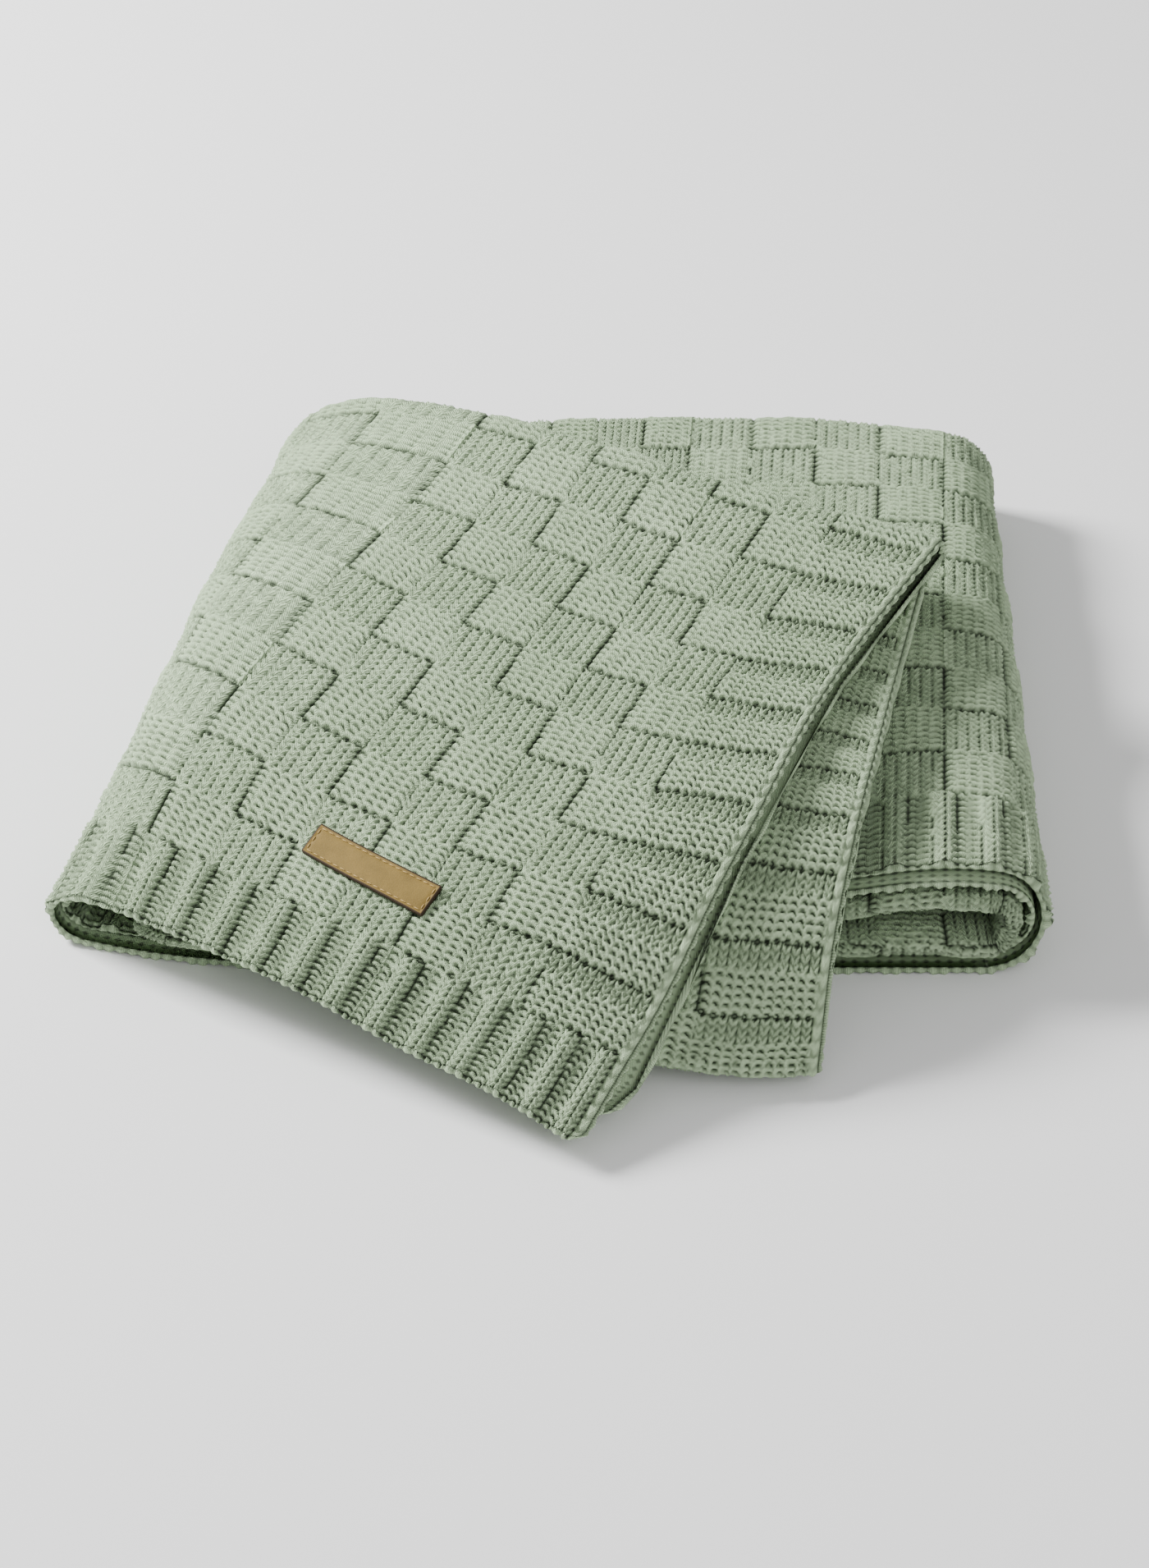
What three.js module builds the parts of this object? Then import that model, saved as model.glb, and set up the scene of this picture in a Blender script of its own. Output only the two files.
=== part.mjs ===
// Knitted baby blanket, folded in quarters along its length and in thirds across its width,
// with a blank leather tag near one hem. Millimetres, +Z up, +Y to the back, on its surface at Z = 0.
import * as THREE from "three";

// The flat cloth
const WIDTH = 762;
const STITCHES = 216;
const STITCH = WIDTH / STITCHES;
const THICK = 2;
const BORDER = 12;
const BLOCK_STITCHES = 6;
const BLOCK_ROWS = 8;
const BLOCK_RELIEF = 0.4;
const CHECK_SHOWS = { from: 30, under: 80, out: 140 };
const TIGHT_TURN = 0.5;
const TURN_DROOP = 0.4;
const TURN_STEP = 0.02;

// The middle of the bounding box, seen from the point that the fold tables are measured from
const ORIGIN_X = -6.6;
const ORIGIN_Y = -2.8;

// Layers, counted outwards: 0 and 1 are the inner pair, 2 and 3 the outer pair
const OUTER_LEVEL = 3;
const LINING_LEVEL = 2;
const INNER_PAIR_TOP = 1;
const PITCH = 4.2;
const FRONT_LEFT_PITCH = 3.1;
const CLOSER = { x: [70, -90], depth: [0.35, 0.95] };

// Right-hand fold
const RIGHT_AXIS = { back: 124, front: 119.5 };
const RIGHT_TURN_STITCHES = 16;
const RIGHT_TURN_START = { back: 60, front: 64 };
const RIGHT_INNER_REACH = 3.5;
const MOUTH = { height: 7, x: 107, spread: 32, opensBy: 0.8, back: 3, backX: [-60, 20] };
const HIDDEN_STITCHES = 36;
const HIDDEN_SQUEEZE = { back: 0.74, front: 0.6 };
const FLAP_BACK_Y = 152;
const MIDDLE_BACK_Y = 148;
const FRONT_Y = -86;
const BACK_CORNER = { from: 75, to: 140, drawnIn: 10 };

// Front end of each layer, in the order of the levels: the front fold twice, then the two hems
const FLAP_FRONT = [-85, -85, -86, -82.5];
const MIDDLE_FRONT = [-88, -88, -83, -87];

// The lining of the left flap stops short of the hem, as a share of the depth, and reaches past the selvage
const LINING_SET_BACK = { fold: 0.016, selvage: 0.034, stitches: [100, 150], depth: [0.7, 1] };
const LINING_REACH = { back: 1.5, front: 5, depth: [0.6, 1] };

// Rows of the outer layer between its hem and its back turn, at the right flap and at the left flap
const BACK_ROW = { right: 90, left: 94, stitches: [70, 168] };

// Left-hand fold: the stitch where each part of the turn begins
const FOOT_STITCH = { back: 138, front: 155 };
const EDGE_STITCH = { back: 151, front: 161.5 };
const FLAP_STITCH = 168;
const FLAP_RUN = 3;
const ROUND = 0.55;
const FOOT_BLEND = { back: 5, front: 8 };

// Left-hand fold, a row for each section from the back (depth 0) to the hem (depth 1):
// the foot where the cloth leaves the surface and the edge where it stands furthest out
const OUTER_FOLD = [
  { depth: 0.0, foot: [-65, 137], edge: [-95, 149, 28] },
  { depth: 0.2, foot: [-80, 101], edge: [-103.5, 110, 29] },
  { depth: 0.4, foot: [-91, 58], edge: [-115, 66, 28] },
  { depth: 0.6, foot: [-101, 14], edge: [-125, 20, 25] },
  { depth: 0.8, foot: [-117, -28], edge: [-138.5, -28, 20] },
  { depth: 0.9, foot: [-129, -51], edge: [-146, -50, 14] },
  { depth: 1.0, foot: [-141, -75.5], edge: [-153.5, -70, 9] },
];
const INNER_FOLD = [
  { depth: 0.0, foot: [-57, 135], edge: [-84, 141, 28] },
  { depth: 0.2, foot: [-69, 98], edge: [-94, 104, 28] },
  { depth: 0.4, foot: [-77, 56], edge: [-102, 62, 27] },
  { depth: 0.6, foot: [-87, 12], edge: [-111, 15, 24] },
  { depth: 0.8, foot: [-99, -32], edge: [-116, -33, 18] },
  { depth: 0.9, foot: [-107, -56], edge: [-120, -57, 15.5] },
  { depth: 1.0, foot: [-116, -81], edge: [-127, -80, 13.5] },
];

// Left flap, outer pair: the ends of each row of knitting and how far its middle hangs forward
const OUTER_FLAP = [
  { depth: 0.0, left: [-29, 118], right: [112, 43], bow: 3 },
  { depth: 0.19, left: [-49, 71], right: [87, -3], bow: 10 },
  { depth: 0.36, left: [-69, 34], right: [69, -40], bow: 13 },
  { depth: 0.53, left: [-88, -2], right: [53, -78], bow: 11 },
  { depth: 0.7, left: [-108, -32], right: [34, -112], bow: 9 },
  { depth: 0.87, left: [-123, -61], right: [15, -142], bow: 6 },
  { depth: 1.0, left: [-132, -84], right: [1, -164.5], bow: 0 },
];

// Left flap, inner pair, which swings less and so shows as a strip along the right side
const INNER_FLAP = [
  { depth: 0.0, left: [-26, 116], right: [108, 39], bow: 2 },
  { depth: 0.25, left: [-42, 62], right: [97, -7], bow: 2 },
  { depth: 0.5, left: [-60, 8], right: [87, -49], bow: 2 },
  { depth: 0.7, left: [-74, -34], right: [79, -82], bow: 6 },
  { depth: 0.85, left: [-89, -64], right: [72, -110], bow: 12 },
  { depth: 1.0, left: [-105, -88], right: [68, -132], bow: 17 },
];

// Border stitches on the left flap are drawn in a little
const BORDER_SQUEEZE = 0.8;

// Height of the top layer above the surface, a row for each Y and a column for each X
const TOP_X = [-150, -100, -50, 0, 50, 100];
const TOP_HEIGHT = [
  { y: -165, z: [10, 10, 10, 7, 5, 5] },
  { y: -135, z: [12, 14, 16, 23, 17, 12] },
  { y: -105, z: [16, 22, 33, 42, 43, 40] },
  { y: -75, z: [20, 33, 44, 51, 56, 56] },
  { y: -40, z: [28, 46, 53, 57, 59, 59] },
  { y: 0, z: [34, 54, 58, 59, 60, 60] },
  { y: 60, z: [38, 54, 58, 60, 60, 60] },
  { y: 145, z: [40, 48, 54, 58, 60, 60] },
];

// The tag
const TAG = { stitch: 187.1, row: 20.3, length: 43.5, width: 10, thick: 1.2, gap: 0.3 };
const TAG_TURN = (5 * Math.PI) / 180;
const TAG_STEPS = { long: 12, short: 4 };
const TAG_SCALE = { stitch: 3.6, row: 2.13 };
const TAG_REACH = 4;

// Plain helpers
const mix = (a, b, t) => a + (b - a) * t;
const clamp = (t) => Math.min(1, Math.max(0, t));
const soft = (a, b, t) => {
  const s = clamp((t - a) / (b - a));
  return s * s * (3 - 2 * s);
};

// Smooth curve through values given at rising stations
function through(stations, values, at) {
  const last = stations.length - 1;
  let i = 0;
  while (i < last - 1 && at > stations[i + 1]) i += 1;
  const slope = (k) => {
    const a = Math.max(0, k - 1);
    const b = Math.min(last, k + 1);
    return (values[b] - values[a]) / (stations[b] - stations[a]);
  };
  const span = stations[i + 1] - stations[i];
  const t = clamp((at - stations[i]) / span);
  const rise = values[i + 1] - values[i];
  const bend = (slope(i) * span - rise) * (1 - t) - (slope(i + 1) * span - rise) * t;
  return values[i] + rise * t + bend * t * (1 - t);
}

// One column of a table of sections, read at a depth
const column = (table, key, axis) => ({
  stations: table.map((row) => row.depth),
  values: table.map((row) => (axis === undefined ? row[key] : row[key][axis])),
});
const read = (col, depth) => through(col.stations, col.values, depth);
const point = (table, key) => [column(table, key, 0), column(table, key, 1)];
const readPoint = (cols, depth) => [read(cols[0], depth), read(cols[1], depth)];

// Distance between layers: they lie closer towards the front left corner
function pitchAt(x, depth) {
  const share = soft(...CLOSER.x, x) * soft(...CLOSER.depth, depth);
  return mix(PITCH, FRONT_LEFT_PITCH, share);
}
function depthOfY(y) {
  return clamp((FLAP_BACK_Y - y) / (FLAP_BACK_Y - FRONT_Y));
}

// Height of the top layer over a place on the surface
function topHeight(x, y) {
  const rows = TOP_HEIGHT.map((row) => through(TOP_X, row.z, x));
  return through(TOP_HEIGHT.map((row) => row.y), rows, y);
}

// Heights of the layers in the middle third and in the right flap
function middleHeight(level, x, depth) {
  return THICK / 2 + (OUTER_LEVEL - level) * pitchAt(x, depth);
}
function flapHeight(level, x, depth) {
  const bump = MOUTH.height * Math.exp(-(((x - MOUTH.x) / MOUTH.spread) ** 2));
  const open = mix(MOUTH.back * soft(...MOUTH.backX, x), bump, soft(0, MOUTH.opensBy, depth));
  const pitch = pitchAt(x, depth);
  return THICK / 2 + OUTER_LEVEL * pitch + pitch + open + level * pitch;
}

const isOuter = (level) => level > INNER_PAIR_TOP;
const axisX = (depth) => mix(RIGHT_AXIS.back, RIGHT_AXIS.front, depth);

// The back right corner is rounded off
const cornerDraw = (x, depth) =>
  BACK_CORNER.drawnIn * soft(BACK_CORNER.from, BACK_CORNER.to, x) * (1 - depth) ** 3;

// Right flap, from its hidden selvage to the right-hand fold
function rightFlap(level, stitch, depth) {
  const start = mix(RIGHT_TURN_START.back, RIGHT_TURN_START.front, depth);
  const shown = Math.max(stitch, HIDDEN_STITCHES);
  const squeeze = mix(HIDDEN_SQUEEZE.back, HIDDEN_SQUEEZE.front, depth);
  const hidden = Math.max(0, HIDDEN_STITCHES - stitch) * squeeze;
  const x = axisX(depth) - (start - shown + hidden) * STITCH;
  const y = mix(FLAP_BACK_Y, FLAP_FRONT[level], depth) - cornerDraw(x, depth);
  return [x, y, flapHeight(level, x, depth)];
}

// Middle third, flat on the surface
const FOOTS = {
  outer: point(OUTER_FOLD, "foot"),
  inner: point(INNER_FOLD, "foot"),
};
function footOf(level, depth) {
  return readPoint(isOuter(level) ? FOOTS.outer : FOOTS.inner, depth);
}
function middle(level, stitch, depth) {
  const start = mix(RIGHT_TURN_START.back, RIGHT_TURN_START.front, depth) + RIGHT_TURN_STITCHES;
  const end = mix(FOOT_STITCH.back, FOOT_STITCH.front, depth);
  const foot = footOf(level, depth);
  const t = clamp((stitch - start) / (end - start));
  const x = mix(axisX(depth), foot[0], t);
  const straight = mix(MIDDLE_BACK_Y, MIDDLE_FRONT[level], depth);
  const y = mix(straight, foot[1], t ** mix(FOOT_BLEND.back, FOOT_BLEND.front, depth));
  return [x, y, middleHeight(level, x, depth)];
}

// Right-hand fold, each layer round the one inside it
function rightTurn(level, stitch, depth) {
  const start = mix(RIGHT_TURN_START.back, RIGHT_TURN_START.front, depth);
  const angle = (Math.PI * (start + RIGHT_TURN_STITCHES - stitch)) / RIGHT_TURN_STITCHES;
  const low = middle(level, start + RIGHT_TURN_STITCHES, depth);
  const high = rightFlap(level, start, depth);
  const reach = RIGHT_INNER_REACH + level * PITCH;
  const turn = (1 - Math.cos(angle)) / 2;
  const x = axisX(depth) + reach * Math.sin(angle);
  const y = mix(low[1], high[1], turn) - (cornerDraw(x, depth) - cornerDraw(axisX(depth), depth));
  return [x, y, mix(low[2], high[2], turn)];
}

// Left flap, laid over the stack at an angle
function flapFrom(table) {
  return { left: point(table, "left"), right: point(table, "right"), bow: column(table, "bow") };
}
const OUTER_SHAPE = flapFrom(OUTER_FLAP);
const INNER_SHAPE = flapFrom(INNER_FLAP);
function acrossFlap(stitch) {
  const border = STITCHES - BORDER;
  const whole = border - FLAP_STITCH + BORDER * BORDER_SQUEEZE;
  const check = Math.min(stitch, border) - FLAP_STITCH;
  return (check + Math.max(0, stitch - border) * BORDER_SQUEEZE) / whole;
}
function leftFlap(level, stitch, depth) {
  const shape = isOuter(level) ? OUTER_SHAPE : INNER_SHAPE;
  const left = readPoint(shape.left, depth);
  const right = readPoint(shape.right, depth);
  const whole = Math.hypot(right[0] - left[0], right[1] - left[1]);
  const reach = mix(LINING_REACH.back, LINING_REACH.front, soft(...LINING_REACH.depth, depth));
  const stretch = level === LINING_LEVEL ? 1 + reach / whole : 1;
  const across = acrossFlap(stitch);
  const bow = read(shape.bow, depth) * 4 * across * (1 - across);
  const x = mix(left[0], right[0], across * stretch);
  const y = mix(left[1], right[1], across * stretch) - bow;
  const pitch = pitchAt(x, depthOfY(y));
  return [x, y, topHeight(x, y) - (OUTER_LEVEL - level) * pitch];
}

// Left-hand fold: a quarter turn from the foot to the edge, and another from the edge to the flap
const EDGES = {
  outer: { plan: point(OUTER_FOLD, "edge"), height: column(OUTER_FOLD, "edge", 2) },
  inner: { plan: point(INNER_FOLD, "edge"), height: column(INNER_FOLD, "edge", 2) },
};
function bezier(a, b, c, d, t) {
  const s = 1 - t;
  return a.map((v, i) => s * s * s * v + 3 * s * s * t * b[i] + 3 * s * t * t * c[i] + t * t * t * d[i]);
}
function leftTurn(level, stitch, depth) {
  const footStitch = mix(FOOT_STITCH.back, FOOT_STITCH.front, depth);
  const edgeStitch = mix(EDGE_STITCH.back, EDGE_STITCH.front, depth);
  const shape = isOuter(level) ? EDGES.outer : EDGES.inner;
  const foot = middle(level, footStitch, depth);
  const plan = readPoint(shape.plan, depth);
  const away = Math.hypot(foot[0] - plan[0], foot[1] - plan[1]);
  const isLining = level === LINING_LEVEL || level === 0;
  const inwards = isLining ? pitchAt(plan[0], depth) / away : 0;
  const edge = [
    mix(plan[0], foot[0], inwards),
    mix(plan[1], foot[1], inwards),
    read(shape.height, depth),
  ];
  if (stitch <= edgeStitch) {
    const reach = Math.hypot(edge[0] - foot[0], edge[1] - foot[1]) * ROUND;
    const rise = (edge[2] - foot[2]) * ROUND;
    const t = clamp((stitch - footStitch) / (edgeStitch - footStitch));
    const fromFoot = [foot[0] - reach, foot[1], foot[2]];
    return bezier(foot, fromFoot, [edge[0], edge[1], edge[2] - rise], edge, t);
  }
  const flap = leftFlap(level, FLAP_STITCH, depth);
  const next = leftFlap(level, FLAP_STITCH + FLAP_RUN, depth);
  const run = Math.hypot(next[0] - flap[0], next[1] - flap[1], next[2] - flap[2]);
  const reach = (Math.hypot(edge[0] - flap[0], edge[1] - flap[1]) * ROUND) / run;
  const toFlap = flap.map((v, i) => v - (next[i] - v) * reach);
  const rise = Math.max(1, toFlap[2] - edge[2]) * ROUND;
  const t = clamp((stitch - edgeStitch) / (FLAP_STITCH - edgeStitch));
  return bezier(edge, [edge[0], edge[1], edge[2] + rise], toFlap, flap, t);
}

// The lining's own depth: its hem is set back where it shows on the left
function depthInLayer(level, stitch, depth) {
  if (level !== LINING_LEVEL) return depth;
  const atFold = LINING_SET_BACK.fold * soft(...LINING_SET_BACK.stitches, stitch);
  const setBack = mix(atFold, LINING_SET_BACK.selvage, soft(FLAP_STITCH, STITCHES, stitch));
  return depth - setBack * soft(...LINING_SET_BACK.depth, depth);
}

// A place on the middle surface of one layer
function place(level, stitch, wholeDepth) {
  const depth = depthInLayer(level, stitch, wholeDepth);
  const start = mix(RIGHT_TURN_START.back, RIGHT_TURN_START.front, depth);
  if (stitch <= start) return rightFlap(level, stitch, depth);
  if (stitch < start + RIGHT_TURN_STITCHES) return rightTurn(level, stitch, depth);
  if (stitch <= mix(FOOT_STITCH.back, FOOT_STITCH.front, depth)) return middle(level, stitch, depth);
  if (stitch < FLAP_STITCH) return leftTurn(level, stitch, depth);
  return leftFlap(level, stitch, depth);
}

// Turns at the back and the front: a half circle from one layer round to another
function turnRadius(from, to, stitch, depth) {
  const a = place(from, stitch, depth);
  const b = place(to, stitch, depth);
  return Math.hypot(a[0] - b[0], a[1] - b[1], a[2] - b[2]) / 2;
}
function lengthTurn(from, to, stitch, depth, share) {
  const a = place(from, stitch, depth);
  const b = place(to, stitch, depth);
  const step = depth > 0.5 ? -TURN_STEP : TURN_STEP;
  const inner = place(Math.max(from, to), stitch, depth + step);
  const base = place(Math.max(from, to), stitch, depth);
  const way = [base[0] - inner[0], base[1] - inner[1], (base[2] - inner[2]) * TURN_DROOP];
  const out = way.map((v) => v / Math.hypot(...way));
  const radius = turnRadius(from, to, stitch, depth);
  const angle = Math.PI * share;
  return a.map((v, i) => {
    const centre = (v + b[i]) / 2;
    return centre + ((v - b[i]) / 2) * Math.cos(angle) + out[i] * radius * Math.sin(angle);
  });
}

// Stations across: coarse where the cloth is flat and hidden, close in the folds
const evenly = (from, to, step) => {
  const list = [];
  for (let v = from; v <= to + 1e-6; v += step) list.push(v);
  return list;
};
const ACROSS = [
  0, BORDER, 21,
  ...evenly(33, 57, BLOCK_STITCHES),
  ...evenly(60, 80, 2.5),
  ...evenly(92, 128, 12),
  ...evenly(135, 165, 3),
  FLAP_STITCH,
  ...evenly(171, 201, BLOCK_STITCHES),
  STITCHES - BORDER, 210, STITCHES,
];

// Stations along the cloth: the middle of every block row, and the half turns between the layers
const FIRST_BLOCK_ROW = BORDER + BLOCK_ROWS / 2;
const ROW_STOPS = [0, BORDER, ...evenly(FIRST_BLOCK_ROW, 80, BLOCK_ROWS)];
const BACKWARDS = [...ROW_STOPS].reverse();
const layerStops = (level, rows) => rows.map((row) => ({ level, row }));
const turnStops = (from, to, depth, steps) =>
  evenly(0, steps, 1).map((i) => ({ from, to, depth, share: i / steps }));
const CHAIN = [
  ...layerStops(3, ROW_STOPS),
  ...turnStops(3, 0, 0, 4),
  ...layerStops(0, BACKWARDS.slice(0, -1)),
  ...turnStops(0, 1, 1, 4),
  ...layerStops(1, ROW_STOPS.slice(1)),
  ...turnStops(1, 2, 0, 3),
  ...layerStops(2, BACKWARDS),
];

// Depth of a row: 1 at the hem, 0 at the back turn
function depthOfRow(stitch, row) {
  return 1 - row / mix(BACK_ROW.right, BACK_ROW.left, soft(...BACK_ROW.stitches, stitch));
}
function chainPlace(stop, stitch) {
  if (stop.share === undefined) return place(stop.level, stitch, depthOfRow(stitch, stop.row));
  return lengthTurn(stop.from, stop.to, stitch, stop.depth, stop.share);
}

// The cloth is pressed thinner in a tight turn
function thickAt(stop, stitch) {
  if (stop.share === undefined) return THICK;
  const room = 2 * TIGHT_TURN * turnRadius(stop.from, stop.to, stitch, stop.depth);
  return Math.min(THICK, room);
}

// Basket-weave check: purl blocks stand proud of knit blocks on the outer face, where it shows
function blockRelief(stop, stitch) {
  const isChecked = stop.level === OUTER_LEVEL && stop.row >= FIRST_BLOCK_ROW;
  const isOnRightFlap = stitch > CHECK_SHOWS.from && stitch < CHECK_SHOWS.under;
  const isOnLeftFlap = stitch > CHECK_SHOWS.out && stitch < STITCHES - BORDER;
  if (!isChecked || !(isOnRightFlap || isOnLeftFlap)) return 0;
  const acrossWave = Math.sin((Math.PI * (stitch - BORDER)) / BLOCK_STITCHES);
  const alongWave = Math.sin((Math.PI * (stop.row - BORDER)) / BLOCK_ROWS);
  return BLOCK_RELIEF * acrossWave * alongWave;
}

// A closed sheet from two grids of points of the same size, the first one on the outer side
function closedSheet(upper, lower, facesUp) {
  const lines = upper.length;
  const columns = upper[0].length;
  const all = [...upper.flat(), ...lower.flat()];
  const positions = all.flatMap((p) => [p.x - ORIGIN_X, p.y - ORIGIN_Y, p.z]);
  const index = [];
  const quad = (a, b, c, d) => index.push(a, b, c, a, c, d);
  const id = (side, j, i) => (side * lines + j) * columns + i;
  const right = columns - 1;
  const end = lines - 1;
  for (let j = 0; j < end; j += 1) {
    for (let i = 0; i < right; i += 1) {
      const top = [id(0, j, i), id(0, j + 1, i), id(0, j + 1, i + 1), id(0, j, i + 1)];
      const under = [id(1, j, i), id(1, j, i + 1), id(1, j + 1, i + 1), id(1, j + 1, i)];
      quad(...(facesUp(j) ? top : [...top.slice(1), top[0]]));
      quad(...(facesUp(j) ? under : [...under.slice(1), under[0]]));
    }
    quad(id(0, j, 0), id(1, j, 0), id(1, j + 1, 0), id(0, j + 1, 0));
    quad(id(0, j, right), id(0, j + 1, right), id(1, j + 1, right), id(1, j, right));
  }
  for (let i = 0; i < right; i += 1) {
    quad(id(0, 0, i), id(0, 0, i + 1), id(1, 0, i + 1), id(1, 0, i));
    quad(id(0, end, i), id(1, end, i), id(1, end, i + 1), id(0, end, i + 1));
  }
  const geometry = new THREE.BufferGeometry();
  geometry.setAttribute("position", new THREE.Float32BufferAttribute(positions, 3));
  geometry.setIndex(index);
  return geometry;
}

// The whole sheet: its middle surface, then a face on each side of it
function sheetGeometry() {
  const grid = CHAIN.map((stop) => ACROSS.map((stitch) => new THREE.Vector3(...chainPlace(stop, stitch))));
  const face = (side) =>
    grid.map((line, j) =>
      line.map((at, i) => {
        const along = grid[Math.min(j + 1, grid.length - 1)][i].clone().sub(grid[Math.max(j - 1, 0)][i]);
        const across = line[Math.min(i + 1, line.length - 1)].clone().sub(line[Math.max(i - 1, 0)]);
        const normal = along.cross(across).normalize();
        const lift = (side * thickAt(CHAIN[j], ACROSS[i])) / 2 - blockRelief(CHAIN[j], ACROSS[i]);
        const p = at.clone().addScaledVector(normal, lift);
        p.z = Math.max(0, p.z);
        return p;
      }),
    );
  const runsBack = (j) => CHAIN[j].level === 3 || CHAIN[j].level === 1;
  return closedSheet(face(1), face(-1), runsBack);
}

// The tag follows the cloth under it
function tagGeometry() {
  const onCloth = (a, b) => {
    const right = a * Math.cos(TAG_TURN) - b * Math.sin(TAG_TURN);
    const towardsHem = a * Math.sin(TAG_TURN) + b * Math.cos(TAG_TURN);
    const stitch = TAG.stitch + right / TAG_SCALE.stitch;
    const row = TAG.row - towardsHem / TAG_SCALE.row;
    return new THREE.Vector3(...place(OUTER_LEVEL, stitch, depthOfRow(stitch, row)));
  };
  const low = THICK / 2 + BLOCK_RELIEF + TAG.gap;
  const face = (lift) =>
    evenly(0, TAG_STEPS.short, 1).map((j) =>
      evenly(0, TAG_STEPS.long, 1).map((i) => {
        const a = (i / TAG_STEPS.long - 0.5) * TAG.length;
        const b = (j / TAG_STEPS.short - 0.5) * TAG.width;
        const across = onCloth(a + TAG_REACH, b).sub(onCloth(a - TAG_REACH, b));
        const along = onCloth(a, b - TAG_REACH).sub(onCloth(a, b + TAG_REACH));
        return onCloth(a, b).addScaledVector(across.cross(along).normalize(), lift);
      }),
    );
  return closedSheet(face(low + TAG.thick), face(low), () => true);
}

const wool = new THREE.MeshStandardMaterial({ color: 0xa3ad93, roughness: 0.95, metalness: 0 });
const leather = new THREE.MeshStandardMaterial({ color: 0xb0925c, roughness: 0.6, metalness: 0 });

const group = new THREE.Group();
const blanket = new THREE.Mesh(sheetGeometry(), wool);
blanket.name = "blanket";
group.add(blanket);
const label = new THREE.Mesh(tagGeometry(), leather);
label.name = "label";
group.add(label);

export default group;
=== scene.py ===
"""Knitted baby blanket folded in quarters and then in thirds, with a blank leather tag near its hem.

The folds are worked out in millimetres from the same sizes as the solid. The stitches are raised on them
as a fine relief: V shaped columns where the cloth is knit, rows of bumps where it is purl.
"""

import math

import bpy
import numpy as np
from bpy.props import FloatProperty, FloatVectorProperty, PointerProperty
from bpy.types import Operator, Panel, PropertyGroup
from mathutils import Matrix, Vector


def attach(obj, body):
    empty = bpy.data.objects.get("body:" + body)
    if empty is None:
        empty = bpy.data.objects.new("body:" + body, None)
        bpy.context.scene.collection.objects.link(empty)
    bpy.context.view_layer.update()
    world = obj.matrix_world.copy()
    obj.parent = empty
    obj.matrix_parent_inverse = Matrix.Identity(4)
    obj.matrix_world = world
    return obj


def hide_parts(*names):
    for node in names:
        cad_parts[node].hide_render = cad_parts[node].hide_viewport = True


bl_info = {
    "name": "Folded knitted blanket",
    "version": (1, 0, 0),
    "blender": (4, 5, 0),
    "location": "View3D > Sidebar > Knitted blanket",
    "description": "Builds a folded basket-weave blanket with its leather tag around the packed solids",
    "category": "Add Mesh",
}

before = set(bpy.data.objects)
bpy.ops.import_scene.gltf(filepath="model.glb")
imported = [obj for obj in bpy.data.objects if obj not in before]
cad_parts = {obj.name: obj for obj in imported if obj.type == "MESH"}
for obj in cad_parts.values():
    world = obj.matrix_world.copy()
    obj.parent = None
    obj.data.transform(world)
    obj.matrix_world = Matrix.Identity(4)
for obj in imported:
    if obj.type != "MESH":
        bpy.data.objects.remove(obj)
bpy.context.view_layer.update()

MM = 0.001

# The flat cloth, counted in stitches across and rows along
WIDTH = 762.0
STITCHES = 216
ROWS = 392
STITCH = WIDTH / STITCHES
HEM_ROWS = 12
BORDER = 12
BLOCK_STITCHES = 6
BLOCK_ROWS = 8
RIB_REPEAT = 4
RIDGE_ROWS = 5
SELVAGE = 1.0

# Layers, counted outwards: 0 and 1 are the inner pair, 2 and 3 the outer pair.
# From its first hem the cloth runs through 3, 0, 1 and 2
OUTER_LEVEL = 3
LINING_LEVEL = 2
INNER_PAIR_TOP = 1
PITCH = 4.2
FRONT_LEFT_PITCH = 3.1
CLOSER = {"x": (70, -90), "depth": (0.35, 0.95)}
LAYER_BASE = 1.0
ORIGIN = np.array([-6.6, -2.8, 0.0])
TURN_DROOP = 0.4
TURN_STEP = 0.02
KINK_STITCHES = 1.2

# Right-hand fold
RIGHT_AXIS = {"back": 124.0, "front": 119.5}
RIGHT_TURN_STITCHES = 16
RIGHT_TURN_START = {"back": 60, "front": 64}
RIGHT_FOLD_END = RIGHT_TURN_START["front"] + RIGHT_TURN_STITCHES
RIGHT_INNER_REACH = 3.5
MOUTH = {"height": 7.0, "x": 107.0, "spread": 32.0, "opens_by": 0.8, "back": 3.0, "back_x": (-60, 20)}
HIDDEN_STITCHES = 36
HIDDEN_SQUEEZE = {"back": 0.74, "front": 0.6}
FLAP_BACK_Y = 152.0
MIDDLE_BACK_Y = 148.0
FRONT_Y = -86.0
BACK_CORNER = {"from": 75.0, "to": 140.0, "drawn_in": 10.0}

# Front end of each layer, in the order of the levels: the front fold twice, then the two hems
FLAP_FRONT = (-85.0, -85.0, -86.0, -82.5)
MIDDLE_FRONT = (-88.0, -88.0, -83.0, -87.0)

# The lining of the left flap stops short of the hem, as a share of the depth, and reaches past
# the selvage, in millimetres
LINING_SET_BACK = {"fold": 0.016, "selvage": 0.034, "stitches": (100, 150), "depth": (0.7, 1)}
LINING_REACH = {"back": 1.5, "front": 5, "depth": (0.6, 1)}

# Rows of the outer layer between its hem and its back turn, at the right flap and at the left flap.
# Stations are stretched from one to the other over the last rows
BACK_ROW = {"right": 90, "left": 94, "stitches": (70, 168)}
END_ROWS = 2.0
PLAIN_ROWS = BACK_ROW["right"] - END_ROWS
TURN_ROWS = 7.6

# Left-hand fold: the stitch where each part of the turn begins
FOOT_STITCH = {"back": 138, "front": 155}
EDGE_STITCH = {"back": 151, "front": 161.5}
FLAP_STITCH = 168
MID_FLAP_STITCH = 192
ROUND = 0.55
FLAP_RUN = 3
FOOT_BLEND = {"back": 5, "front": 8}

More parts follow.
